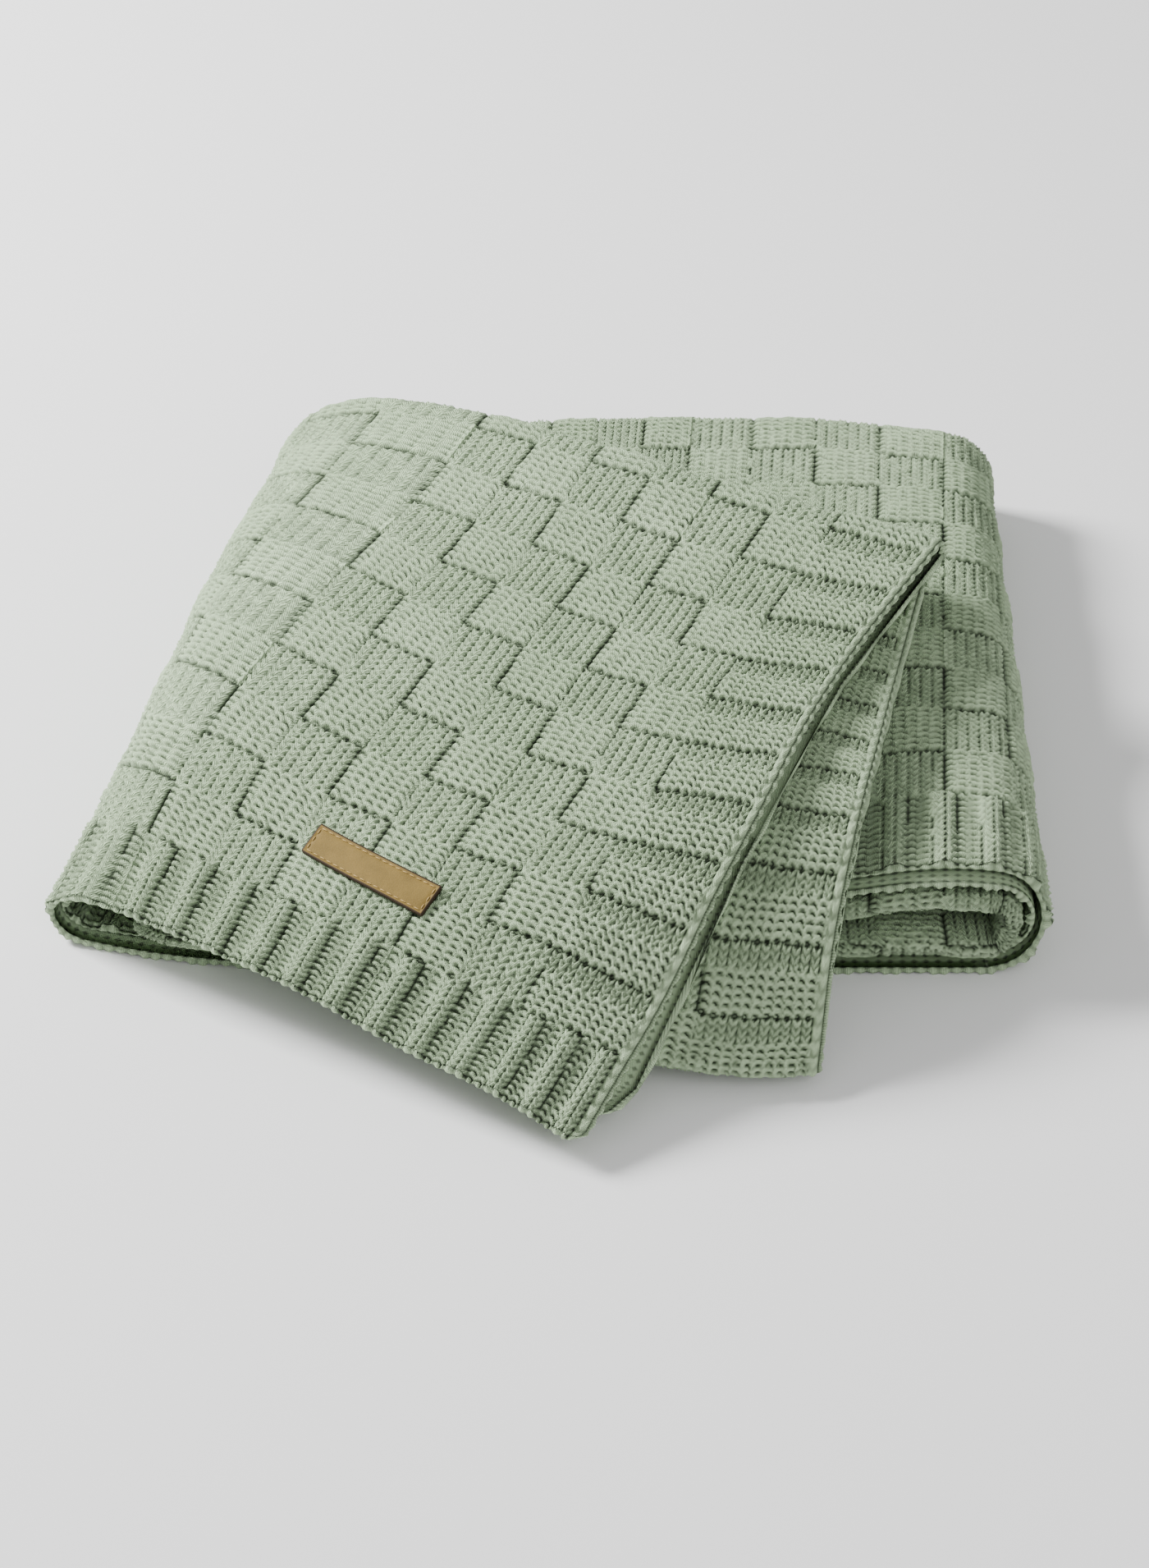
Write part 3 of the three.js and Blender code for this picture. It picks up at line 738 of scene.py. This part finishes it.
def relief(stitches, rows, settings):
    """Height of the right side and the painted shade in its holes and in sunk ribs and ridges."""
    stitch = np.broadcast_to(stitches[None, :], rows.shape)
    stitch_gap = np.abs(np.gradient(stitches))[None, :]
    row_gap = np.abs(np.gradient(rows, axis=0))
    detail = soft(*FADE["stitch"], stitch_gap) * soft(*FADE["row"], row_gap)
    shape = stitch_shape(stitch, rows)
    blocks = block_shape(stitch, rows)
    height = settings.stitch_relief / MM * detail * (shape - MEAN_RELIEF)
    height = height + settings.block_relief / MM * soft(*FADE["block"], row_gap) * blocks
    height = height + SLOW_RELIEF * unevenness(stitch, rows)
    # Painted shade, deeper where ribs and ridges are sunk below the ground
    recess_shade = RECESS_SHADE * clamp((-blocks - 1) / (RIB_SHARE - 1))
    return stitch, height, detail * (1 - (1 - hole_shade_of(shape)) * (1 - recess_shade))


def every(coarse, count):
    """Every so many indices of a count, and the last one."""
    return np.array(sorted({*range(0, count, coarse), count - 1}))


def join_rims(fine, fine_at, coarse, coarse_at):
    """Triangles between a fine rim and a coarse one, each given by its point numbers and grid places."""
    place_in_fine = {place_at: k for k, place_at in enumerate(zip(*fine_at.tolist()))}
    whole = len(fine)
    triangles = []
    for k, here in enumerate(coarse):
        k_next = (k + 1) % len(coarse)
        there = coarse[k_next]
        first = place_in_fine[tuple(coarse_at[:, k].tolist())]
        count = (place_in_fine[tuple(coarse_at[:, k_next].tolist())] - first) % whole
        for step in range(count):
            a, b = fine[(first + step) % whole], fine[(first + step + 1) % whole]
            triangles.append((a, b, here if step < count // 2 else there))
            if step == count // 2:
                triangles.append((a, there, here))
    return triangles


def sheet_mesh(name, parts, stitches, settings, edges, coarse):
    """A closed thin sheet of knitting: its fine right side, its plainer wrong side and the rim between.

    edges names the sides of the piece that are real edges of the cloth, which are rounded:
    low and high for the first and last stitch, start and end for the first and last row."""
    grid, rows, normal, along, across = surface(parts, stitches)
    stitch, height, painted_shade_and_burnish = relief(stitches, rows, settings)
    half = settings.thickness / MM / 2
    count, columns = rows.shape
    points_of = Points()
    number = points_of.add(grid + normal * (half + height)[..., None], stitch, rows, painted_shade_and_burnish, 0)
    quads = [quads_between(number, flipped=True)]

    # The rim: rings of points from the right side round to the wrong side
    path = ring(count, columns)
    j, i = path
    out = np.zeros((j.size, 3))
    for is_edge, on_it, way in (
        ("low" in edges, i == 0, -across),
        ("high" in edges, i == columns - 1, across),
        ("start" in edges, j == 0, -along),
        ("end" in edges, j == count - 1, along),
    ):
        if is_edge:
            out += unit(way[j, i]) * on_it[:, None]
    # Each stitch makes a bump on a hem, and each two rows make one on a selvage
    at_hem = np.isin(j, (0, count - 1))
    bump = np.sin(math.pi * np.where(at_hem, stitch[j, i], rows[j, i] / 2)) ** 2
    rim = number[j, i]
    for angle in RIM_ANGLES:
        up, outwards = math.cos(math.radians(angle)), math.sin(math.radians(angle))
        lift = np.full(j.size, up * half) + (up * height[j, i] if up > 0 else 0)
        bulge = outwards * half * (RIM_LOW + (1 - RIM_LOW) * 2 * bump)
        ring_at = grid[j, i] + normal[j, i] * lift[:, None] + out * bulge[:, None]
        # Painted shade on the rim: the holes' shade on its upper ring, and more in the dips between its
        # bumps
        dark = np.maximum(painted_shade_and_burnish[j, i] * max(0, up), RIM_SHADE * (1 - bump) ** 2)
        outer = points_of.add(ring_at, stitch[j, i], rows[j, i], dark, 0)
        quads.append(quads_round(rim, outer))
        rim = outer

    # The wrong side, on fewer points
    lines, posts = every(coarse, count), every(coarse, columns)
    few = np.ix_(lines, posts)
    under = points_of.add(grid[few] - normal[few] * half, stitch[few], rows[few], 0, 1)
    quads.append(quads_between(under))
    j, i = ring(lines.size, posts.size)
    triangles = join_rims(rim, path, under[j, i], np.array([lines[j], posts[i]]))
    return points_of.build(name, quads, triangles)


def build(name, vertices, quads, triangles, uv, masks):
    """A mesh object in metres from points in millimetres, with the stitch map and its masks."""
    mesh = bpy.data.meshes.new(name)
    where = (vertices - ORIGIN) * MM
    where[:, 2] = np.maximum(0, where[:, 2])
    mesh.from_pydata(where.tolist(), [], quads.tolist() + [list(map(int, t)) for t in triangles])
    loops = np.empty(len(mesh.loops), np.int32)
    mesh.loops.foreach_get("vertex_index", loops)
    layer_of_uv = mesh.uv_layers.new(name="Stitches")
    layer_of_uv.data.foreach_set("uv", uv[loops].astype(np.float32).ravel())
    for key, values in masks.items():
        mesh.attributes.new(key, "FLOAT", "POINT").data.foreach_set("value", values.astype(np.float32))
    mesh.shade_smooth()
    mesh.update()
    thing = bpy.data.objects.new(name, mesh)
    bpy.context.scene.collection.objects.link(thing)
    return thing


def socket(group, name, way, default=0.0):
    made = group.interface.new_socket(name=name, in_out=way, socket_type="NodeSocketFloat")
    made.default_value = default


def mottle_group():
    """Slow and fine variation of a surface, as a tone from 0 to 1 and a height for bump."""
    found = bpy.data.node_groups.get("Mottle")
    if found:
        return found
    group = bpy.data.node_groups.new("Mottle", "ShaderNodeTree")
    socket(group, "Slow scale", "INPUT", 30.0)
    socket(group, "Fine scale", "INPUT", 900.0)
    socket(group, "Tone", "OUTPUT")
    socket(group, "Height", "OUTPUT")
    graph = Graph(group)
    entry = graph.nodes.new("NodeGroupInput")
    leave = graph.nodes.new("NodeGroupOutput")
    where = graph.nodes.new("ShaderNodeTexCoord")
    slow = graph.nodes.new("ShaderNodeTexNoise")
    slow.inputs["Detail"].default_value = 3
    fine = graph.nodes.new("ShaderNodeTexNoise")
    fine.inputs["Detail"].default_value = 4
    fine.inputs["Roughness"].default_value = 0.65
    graph.feed(slow.inputs["Vector"], where.outputs["Object"])
    graph.feed(fine.inputs["Vector"], where.outputs["Object"])
    graph.feed(slow.inputs["Scale"], entry.outputs["Slow scale"])
    graph.feed(fine.inputs["Scale"], entry.outputs["Fine scale"])
    share = graph.work("MULTIPLY", slow.outputs["Fac"], SLOW_SHARE)
    tone = graph.work("MULTIPLY_ADD", fine.outputs["Fac"], 1 - SLOW_SHARE, share)
    graph.feed(leave.inputs["Tone"], tone)
    graph.feed(leave.inputs["Height"], fine.outputs["Fac"])
    return group


class Graph:
    """The nodes of a material or a node group, with a method for each kind that is used often."""

    def __init__(self, tree):
        self.nodes, self.links = tree.nodes, tree.links

    def feed(self, entry, value):
        """Links an output to a socket, or sets the socket to a plain value."""
        if hasattr(value, "is_linked"):
            self.links.new(value, entry)
        else:
            entry.default_value = value

    def work(self, operation, *values):
        """One step of arithmetic on numbers or outputs."""
        node = self.nodes.new("ShaderNodeMath")
        node.operation = operation
        for entry, value in zip(node.inputs, values):
            self.feed(entry, value)
        return node.outputs[0]

    def blend(self, factor, dark, light):
        """A mix of two colours, each a colour or an output."""
        node = self.nodes.new("ShaderNodeMix")
        node.data_type = "RGBA"
        self.feed(node.inputs[0], factor)
        for entry, value in ((node.inputs[6], dark), (node.inputs[7], light)):
            self.feed(entry, value if hasattr(value, "is_linked") else (*value, 1))
        return node.outputs[2]

    def mottle(self, slow_scale, fine_scale):
        """Tone and height of the shared mottle."""
        node = self.nodes.new("ShaderNodeGroup")
        node.node_tree = mottle_group()
        node.inputs["Slow scale"].default_value = slow_scale
        node.inputs["Fine scale"].default_value = fine_scale
        return node.outputs["Tone"], node.outputs["Height"]

    def mask(self, name):
        """A value stored at the points of the mesh."""
        node = self.nodes.new("ShaderNodeAttribute")
        node.attribute_name = name
        return node.outputs["Fac"]

    def bump(self, height, strength, distance):
        """A normal from a height."""
        node = self.nodes.new("ShaderNodeBump")
        node.inputs["Strength"].default_value = strength
        node.inputs["Distance"].default_value = distance
        self.feed(node.inputs["Height"], height)
        return node.outputs["Normal"]


def plain_material(name, roughness):
    """A new material, its graph and the inputs of its shader."""
    material = bpy.data.materials.new(name)
    material.use_nodes = True
    graph = Graph(material.node_tree)
    shader = graph.nodes["Principled BSDF"].inputs
    shader["Roughness"].default_value = roughness
    return material, graph, shader


def wool_material(colours):
    """Sage green yarn with painted shade in the holes between stitches, fine twisted plies with painted
    shade between them, and soft fuzz.
    """
    found = bpy.data.materials.get("sage_wool")
    if found:
        return found
    material, graph, shader = plain_material("sage_wool", 0.92)
    shader["Sheen Weight"].default_value = 0.08
    shader["Sheen Roughness"].default_value = 0.5
    shader["Sheen Tint"].default_value = (0.92, 1.0, 0.86, 1)
    shader["Specular IOR Level"].default_value = 0.2
    mottle, grain = graph.mottle(22, 1400)
    work = graph.work

    # Plies run along the legs of each stitch, as a bump and as lighter and darker stripes, painted shade
    # between the plies
    stitches = graph.nodes.new("ShaderNodeUVMap")
    stitches.uv_map = "Stitches"
    split = graph.nodes.new("ShaderNodeSeparateXYZ")
    graph.feed(split.inputs[0], stitches.outputs["UV"])
    across = work("MULTIPLY", split.outputs["X"], float(STITCHES))
    along = work("MULTIPLY", split.outputs["Y"], float(ROWS))
    to_side = work("PINGPONG", across, 0.5)
    slant = work("MULTIPLY_ADD", to_side, PLY["slant"], along)
    ply = work("SINE", work("MULTIPLY", slant, 2 * math.pi * PLY["count"]))
    lighter = work("MULTIPLY_ADD", ply, PLY["tone"], mottle)
    tone = graph.blend(lighter, colours.wool_dark, colours.wool_light)

    # The wrong side has a hole at each stitch, as painted shade and a bump only
    from_corner = work("MULTIPLY", work("ADD", to_side, work("PINGPONG", along, 0.5)), 2.0)
    hole = work("MAXIMUM", work("MULTIPLY_ADD", from_corner, -BACK_HOLE["narrow"], 1.0), 0.0)
    hole = work("MULTIPLY", hole, graph.mask("back"))
    shade = work("MINIMUM", hole, BACK_HOLE["darkest"])
    # Painted shade: the mask of the right side's holes, and the holes of the wrong side
    deep = work("MAXIMUM", work("POWER", graph.mask("painted_shade_and_burnish"), 0.8), shade)
    graph.feed(shader["Base Color"], graph.blend(deep, tone, colours.painted_shade_and_burnish))
    height = work("MULTIPLY_ADD", ply, PLY["bump"], grain)
    height = work("MULTIPLY_ADD", hole, -BACK_HOLE["bump"], height)
    graph.feed(shader["Normal"], graph.bump(height, 0.8, 0.0007))
    return material


def leather_material(colours):
    """Tan leather with a fine grain, dark at its cut edges."""
    material, graph, shader = plain_material("tan_leather", 0.6)
    shader["Specular IOR Level"].default_value = 0.2
    mottle, grain = graph.mottle(240, 2500)
    tone = graph.blend(mottle, colours.leather_dark, colours.leather_light)
    graph.feed(shader["Base Color"], graph.blend(graph.mask("painted_shade_and_burnish"), tone, colours.leather_edge))
    graph.feed(shader["Normal"], graph.bump(grain, 0.35, 0.0002))
    return material


def thread_material(colours):
    """Pale gold sewing thread."""
    material, graph, shader = plain_material("gold_thread", 0.6)
    mottle = graph.mottle(420, 4000)[0]
    graph.feed(shader["Base Color"], graph.blend(mottle, colours.thread_dark, colours.thread_light))
    return material


def floor_material(shade):
    """Plain pale floor, very slightly mottled."""
    material, graph, shader = plain_material("pale_floor", 0.8)
    mottle = graph.mottle(2, 60)[0]
    lighter = tuple(min(1.0, c * 1.01) for c in shade)
    graph.feed(shader["Base Color"], graph.blend(mottle, tuple(shade), lighter))
    return material


def steps(*runs):
    """Stations from runs of (from, to, step). A station where two runs meet is listed once."""
    listed = []
    for start, stop, step in runs:
        count = round(abs(stop - start) / step)
        listed += [start + (stop - start) * k / count for k in range(count)]
    listed.append(runs[-1][1])
    return np.array(listed)


# Stations along the layers, counted in rows from their front end, close together only where they show
FINE_END = (PLAIN_ROWS, BACK_ROW["right"], END_ROWS / 24)
PLAIN_END = (PLAIN_ROWS, BACK_ROW["right"], 1)
FINE_ROWS = steps((0, PLAIN_ROWS, FINE), FINE_END)
SHOWN_ROWS = steps((0, 10, FINE), (10, PLAIN_ROWS, 4), PLAIN_END)
FRONT_ROWS = steps((0, 3, FINE), (3, PLAIN_ROWS, 5), PLAIN_END)
BACK_ROWS = steps((0, 66, 3), (66, PLAIN_ROWS, FINE), FINE_END)
UNDERSIDE_ROWS = steps((0, 3, FINE), (3, 78, 5), (78, PLAIN_ROWS, 0.5), FINE_END)
OUTER_TURN = turn(OUTER_LEVEL, 0, 0, 30)
OUTER = [layer(OUTER_LEVEL, FINE_ROWS), OUTER_TURN]


def cloth_piece(context, name, parts, stitches, edges, coarse=6):
    """One piece of the cloth, with its material and body; the solid blanket is hidden."""
    settings = context.scene.knit_blanket_cloth
    thing = sheet_mesh(name, parts, stitches, settings, edges, coarse)
    thing.data.materials.append(wool_material(settings))
    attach(thing, "root")
    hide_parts("blanket")


def colour(name, description, default):
    return FloatVectorProperty(
        name=name, description=description, default=default, subtype="COLOR", min=0, max=1,
    )


def size(name, description, default, **limits):
    return FloatProperty(name=name, description=description, default=default, unit="LENGTH", **limits)


class KnitBlanketCloth(PropertyGroup):
    """Sizes and colours of the knitted cloth."""

    thickness: size("Thickness", "Thickness between the cloth's mean faces", 0.0022, min=0.001, max=0.004)
    stitch_relief: size("Stitch relief", "Depth of the holes between stitches", 0.0016, min=0, max=0.002)
    block_relief: size("Block relief", "Rise of purl blocks over the knit ground", 0.0004, min=0, max=0.001)
    wool_dark: colour("Wool, darker", "Darker tone of the yarn", (0.33, 0.47, 0.265))
    wool_light: colour("Wool, lighter", "Lighter tone of the yarn", (0.76, 0.96, 0.63))
    # Colour painted as shade deep in the holes between stitches, where the relief alone casts too little
    # shadow
    painted_shade_and_burnish: colour("Holes", "Tone of the yarn deep between stitches", (0.012, 0.02, 0.008))


class KnitBlanketTag(PropertyGroup):
    """Sizes and colours of the leather tag."""

    length: size("Length", "Long side of the tag", 0.0435)
    width: size("Width", "Short side of the tag", 0.0102)
    thickness: size("Thickness", "Thickness of the leather", 0.0013)
    leather_dark: colour("Leather, darker", "Darker tone of the leather", (0.1, 0.065, 0.012))
    leather_light: colour("Leather, lighter", "Lighter tone of the leather", (0.32, 0.21, 0.05))
    leather_edge: colour("Leather, cut edge", "Tone of the burnished cut edge", (0.035, 0.02, 0.01))
    thread_dark: colour("Thread, darker", "Darker tone of the sewing thread", (0.26, 0.16, 0.045))
    thread_light: colour("Thread, lighter", "Lighter tone of the sewing thread", (0.66, 0.46, 0.17))


class KnitBlanketStage(PropertyGroup):
    """Floor, lights and camera."""

    floor: colour("Floor", "Colour of the plain floor", (0.97, 0.97, 0.97))
    key_power: FloatProperty(
        name="Key light", description="Power of the light at the back left", default=60.0, unit="POWER",
    )
    fill_power: FloatProperty(
        name="Fill light", description="Power of the light in front", default=10.0, unit="POWER",
    )
    elevation: FloatProperty(
        name="Camera height", description="Angle of the camera above the floor",
        default=math.radians(39), subtype="ANGLE",
    )
    distance: size("Camera distance", "Distance of the camera from its target", 1.068)


class KNITBLANKET_OT_left_flap(Operator):
    """Top flap of the outer layer, from the left-hand fold to the right selvage, with its back turn"""

    bl_idname = "knit_blanket.left_flap"
    bl_label = "Left flap"

    def execute(self, context):
        near = steps((FLAP_STITCH, MID_FLAP_STITCH, FINEST))
        far = steps((MID_FLAP_STITCH, STITCHES, FINEST))
        cloth_piece(context, "left_flap_inner_half", OUTER, near, {"start"})
        cloth_piece(context, "left_flap_selvage_half", OUTER, far, {"start", "high"})
        return {"FINISHED"}


class KNITBLANKET_OT_left_fold(Operator):
    """Left-hand fold of the outer layer"""

    bl_idname = "knit_blanket.left_fold"
    bl_label = "Left fold"

    def execute(self, context):
        across = steps((FOOT_STITCH["back"], FLAP_STITCH, FINE))
        cloth_piece(context, "left_fold", OUTER, across, {"start"})
        return {"FINISHED"}


class KNITBLANKET_OT_right_flap(Operator):
    """Right flap and right-hand fold of the outer layer"""

    bl_idname = "knit_blanket.right_flap"
    bl_label = "Right flap"

    def execute(self, context):
        under = steps((0, HIDDEN_STITCHES, FINE))
        flap = steps((HIDDEN_STITCHES, RIGHT_TURN_START["back"], FINE))
        fold = steps((RIGHT_TURN_START["back"], RIGHT_FOLD_END, FINE))
        at_back = [layer(OUTER_LEVEL, BACK_ROWS), OUTER_TURN]
        cloth_piece(context, "right_flap_under", at_back, under, {"start", "low"})
        cloth_piece(context, "right_flap", OUTER, flap, {"start"})
        cloth_piece(context, "right_fold", OUTER, fold, {"start"})
        return {"FINISHED"}


class KNITBLANKET_OT_underside(Operator):
    """Middle third of the outer layer, which lies on the surface"""

    bl_idname = "knit_blanket.underside"
    bl_label = "Underside"

    def execute(self, context):
        across = steps((RIGHT_FOLD_END, FOOT_STITCH["back"], FINE))
        parts = [layer(OUTER_LEVEL, UNDERSIDE_ROWS), OUTER_TURN]
        cloth_piece(context, "underside", parts, across, {"start"})
        return {"FINISHED"}


class KNITBLANKET_OT_lining(Operator):
    """The three inner layers, whose edges show at the front and whose selvage shows as a strip"""

    bl_idname = "knit_blanket.lining"
    bl_label = "Lining layers"

    def execute(self, context):
        front_turn, back_turn = turn(0, 1, 1, 14), turn(1, 2, 0, 5)
        last = layer(2, FRONT_ROWS[::-1])
        hidden = [layer(0, SHOWN_ROWS[::-1]), front_turn, layer(1, FRONT_ROWS), back_turn, last]
        shown = [layer(0, FRONT_ROWS[::-1]), front_turn, layer(1, FINE_ROWS), back_turn, last]
        shown_from, shown_to, middle_at, strip_at = HIDDEN_STITCHES, 100, 110, 196
        right = steps((0, shown_from, 1), (shown_from, shown_to, FINE), (shown_to, middle_at, 1))
        left = steps((middle_at, FOOT_STITCH["back"], 1), (FOOT_STITCH["back"], strip_at, FINE))
        strip = steps((strip_at, STITCHES, FINEST))
        cloth_piece(context, "lining", hidden, right, {"end", "low"}, 3)
        cloth_piece(context, "lining_left", hidden, left, {"end"}, 3)
        cloth_piece(context, "lining_strip", shown, strip, {"end", "high"})
        return {"FINISHED"}


def tag_place(a, b, lift):
    """A place on the tag, a and b millimetres from its middle, at a height over the cloth."""

    def at(along, across):
        right = along * math.cos(TAG_TURN) - across * math.sin(TAG_TURN)
        towards_hem = along * math.sin(TAG_TURN) + across * math.cos(TAG_TURN)
        stitch = TAG_AT["stitch"] + right / TAG_SCALE["stitch"]
        row = TAG_AT["row"] - towards_hem / TAG_SCALE["row"]
        return smooth_place(OUTER_LEVEL, stitch, 1 - row / rows_in_layer(stitch))

    along = at(a + TAG_REACH, b) - at(a - TAG_REACH, b)
    across = at(a, b + TAG_REACH) - at(a, b - TAG_REACH)
    normal = unit(np.cross(across, along))
    return at(a, b) + normal * np.asarray(lift)[..., None]


class KNITBLANKET_OT_tag(Operator):
    """Blank leather tag, sewn on near the hem"""

    bl_idname = "knit_blanket.tag"
    bl_label = "Leather tag"

    def execute(self, context):
        settings = context.scene.knit_blanket_tag
        length, width = settings.length / MM, settings.width / MM
        tag = tag_mesh(length, width, settings.thickness / MM)
        tag.data.materials.append(leather_material(settings))
        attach(tag, "root")
        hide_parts("label")
        thread = thread_mesh(length, width, settings.thickness / MM)
        thread.data.materials.append(thread_material(settings))
        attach(thread, "root")
        return {"FINISHED"}


def rimmed(size):
    """Stations across the tag, crowded towards both rims."""
    near = np.array(TAG_RIM)
    inner = size / 2 - near[-1]
    between = np.linspace(-inner, inner, round(2 * inner / TAG_STEP) + 1)
    return np.concatenate([near - size / 2, between[1:-1], (size / 2 - near)[::-1]])


def tag_mesh(length, width, thickness):
    """The leather: a top with rounded corners and edges, and a flat back."""
    a, b = np.meshgrid(rimmed(length), rimmed(width))
    inside_a = np.maximum(0, np.abs(a) - (length / 2 - TAG_CORNER))
    inside_b = np.maximum(0, np.abs(b) - (width / 2 - TAG_CORNER))
    over = np.hypot(inside_a, inside_b)
    pull = np.where(over > TAG_CORNER, TAG_CORNER / np.maximum(over, 1e-6), 1)
    a = np.sign(a) * (np.abs(a) - inside_a * (1 - pull))
    b = np.sign(b) * (np.abs(b) - inside_b * (1 - pull))
    edge = np.minimum(length / 2 - np.abs(a), width / 2 - np.abs(b))
    drop = TAG_EDGE * (1 - np.sqrt(clamp(1 - (1 - clamp(edge / TAG_EDGE)) ** 2)))
    dent = SEAM["dent"] * bell(edge - SEAM["inset"], SEAM["dent_width"])
    top = tag_place(a, b, TAG_LOW + thickness - drop - dent)
    low = tag_place(a, b, np.full(a.shape, TAG_LOW))
    count = a.size
    number = np.arange(count).reshape(a.shape)
    around = number[tuple(ring(*a.shape))]
    quads = [quads_between(number), quads_between(number, flipped=True) + count]
    quads.append(quads_round(around, around + count))
    where = np.concatenate([top.reshape(-1, 3), low.reshape(-1, 3)])
    uv = np.stack([a / length + 0.5, b / width + 0.5], -1).reshape(-1, 2)
    both = np.concatenate([uv, uv])
    dark = np.concatenate([soft(*TAG_DARK, edge).ravel(), np.ones(count)])
    return build("label_leather", where, np.concatenate(quads), [], both, {"painted_shade_and_burnish": dark})


def seam_runs(length, width):
    """Middle and direction of each thread of the seam, in millimetres from the middle of the tag."""
    half_length, half_width = length / 2 - SEAM["inset"], width / 2 - SEAM["inset"]
    runs = []
    for half, aside, lengthwise in ((half_length, half_width, True), (half_width, half_length, False)):
        count = round(2 * half / (THREAD["stitch"] + THREAD["gap"]))
        pace = 2 * half / count
        for side in (aside, -aside):
            along = [-half + pace * (k + 0.5) for k in range(count)]
            runs += [((x, side), (1, 0)) if lengthwise else ((side, x), (0, 1)) for x in along]
    return runs


def thread_mesh(length, width, thickness):
    """Running stitches near the rim of the tag: short round threads that dip in at both ends."""
    sides, stops = THREAD["sides"], THREAD["stops"]
    vertices, quads, triangles, total = [], [], [], 0
    share = np.linspace(0, 1, stops)
    angle = np.linspace(0, 2 * math.pi, sides, endpoint=False)
    bow = np.sin(math.pi * share) ** 0.5
    girth = THREAD["radius"] * mix(THREAD["thin"], 1, bow)
    side = girth[:, None] * np.cos(angle)[None, :]
    rise = TAG_LOW + thickness - THREAD["sunk"] + THREAD["bow"] * bow
    lift = rise[:, None] + girth[:, None] * np.sin(angle)[None, :]
    along = ((share - 0.5) * THREAD["stitch"])[:, None]
    for (ca, cb), (da, db) in seam_runs(length, width):
        a = ca + da * along + db * side
        b = cb + db * along + da * side
        vertices.append(tag_place(a, b, lift).reshape(-1, 3))
        number = total + np.arange(stops * sides).reshape(stops, sides)
        after = np.roll(number, -1, axis=1)
        band = np.stack([number[:-1], after[:-1], after[1:], number[1:]], -1).reshape(-1, 4)
        flip = da == 0
        quads.append(band if flip else band[:, ::-1])
        for end, start in ((number[0], True), (number[-1], False)):
            fan = [(end[0], end[k], end[k + 1]) for k in range(1, sides - 1)]
            triangles += fan if start != flip else [f[::-1] for f in fan]
        total += stops * sides
    vertices = np.concatenate(vertices)
    blank = np.zeros((len(vertices), 2))
    return build("label_thread", vertices, np.concatenate(quads), triangles, blank, {})


class KNITBLANKET_OT_stage(Operator):
    """Pale floor, soft lights and the camera"""

    bl_idname = "knit_blanket.stage"
    bl_label = "Stage"

    def execute(self, context):
        settings = context.scene.knit_blanket_stage
        bpy.ops.mesh.primitive_plane_add(size=FLOOR_SIZE, location=(0, 0, 0))
        floor = context.object
        floor.name = "floor"
        floor.data.materials.append(floor_material(settings.floor))
        world = bpy.data.worlds.new("studio")
        world.use_nodes = True
        sky = world.node_tree.nodes["Background"]
        sky.inputs["Color"].default_value = (1, 1, 1, 1)
        sky.inputs["Strength"].default_value = WORLD_LIGHT
        context.scene.world = world
        area_light("key", KEY_LIGHT, settings.key_power)
        area_light("fill", FILL_LIGHT, settings.fill_power)
        camera_data = bpy.data.cameras.new("camera")
        camera_data.sensor_width = SENSOR
        camera_data.lens = LENS
        camera_data.clip_start = 0.05
        camera = bpy.data.objects.new("camera", camera_data)
        target = Vector((-ORIGIN[0] * MM, -ORIGIN[1] * MM, 0))
        away = Vector((0, -math.cos(settings.elevation), math.sin(settings.elevation)))
        camera.location = target + away * settings.distance
        camera.rotation_euler = (math.pi / 2 - settings.elevation, 0, 0)
        context.scene.collection.objects.link(camera)
        context.scene.camera = camera
        return {"FINISHED"}


def area_light(name, placed, power):
    """A square light that faces the blanket."""
    data = bpy.data.lights.new(name, "AREA")
    data.shape = "SQUARE"
    data.size = placed["size"]
    data.energy = power
    light = bpy.data.objects.new(name, data)
    light.location = placed["where"]
    light.rotation_euler = (-Vector(placed["where"])).to_track_quat("-Z", "Y").to_euler()
    bpy.context.scene.collection.objects.link(light)


class KNITBLANKET_PT_sidebar(Panel):
    """Lists the steps that build the blanket."""

    bl_label = "Knitted blanket"
    bl_idname = "KNITBLANKET_PT_sidebar"
    bl_space_type = "VIEW_3D"
    bl_region_type = "UI"
    bl_category = "Knitted blanket"

    def draw(self, context):
        scene = context.scene
        for title, settings in (
            ("Cloth", scene.knit_blanket_cloth),
            ("Tag", scene.knit_blanket_tag),
            ("Stage", scene.knit_blanket_stage),
        ):
            box = self.layout.box()
            box.label(text=title)
            for key in settings.__annotations__:
                box.prop(settings, key)
        for operator in OPERATORS:
            self.layout.operator(operator.bl_idname)


OPERATORS = (
    KNITBLANKET_OT_stage,
    KNITBLANKET_OT_left_flap,
    KNITBLANKET_OT_left_fold,
    KNITBLANKET_OT_right_flap,
    KNITBLANKET_OT_underside,
    KNITBLANKET_OT_lining,
    KNITBLANKET_OT_tag,
)
GROUPS = {
    "knit_blanket_cloth": KnitBlanketCloth,
    "knit_blanket_tag": KnitBlanketTag,
    "knit_blanket_stage": KnitBlanketStage,
}


def register():
    for made in (*GROUPS.values(), *OPERATORS, KNITBLANKET_PT_sidebar):
        bpy.utils.register_class(made)
    for name, group in GROUPS.items():
        setattr(bpy.types.Scene, name, PointerProperty(type=group))


def unregister():
    for name in GROUPS:
        delattr(bpy.types.Scene, name)
    for made in (KNITBLANKET_PT_sidebar, *OPERATORS, *GROUPS.values()):
        bpy.utils.unregister_class(made)


def main():
    register()
    bpy.ops.knit_blanket.stage()
    bpy.ops.knit_blanket.left_flap()
    bpy.ops.knit_blanket.left_fold()
    bpy.ops.knit_blanket.right_flap()
    bpy.ops.knit_blanket.underside()
    bpy.ops.knit_blanket.lining()
    bpy.ops.knit_blanket.tag()


if __name__ == "__main__":
    main()
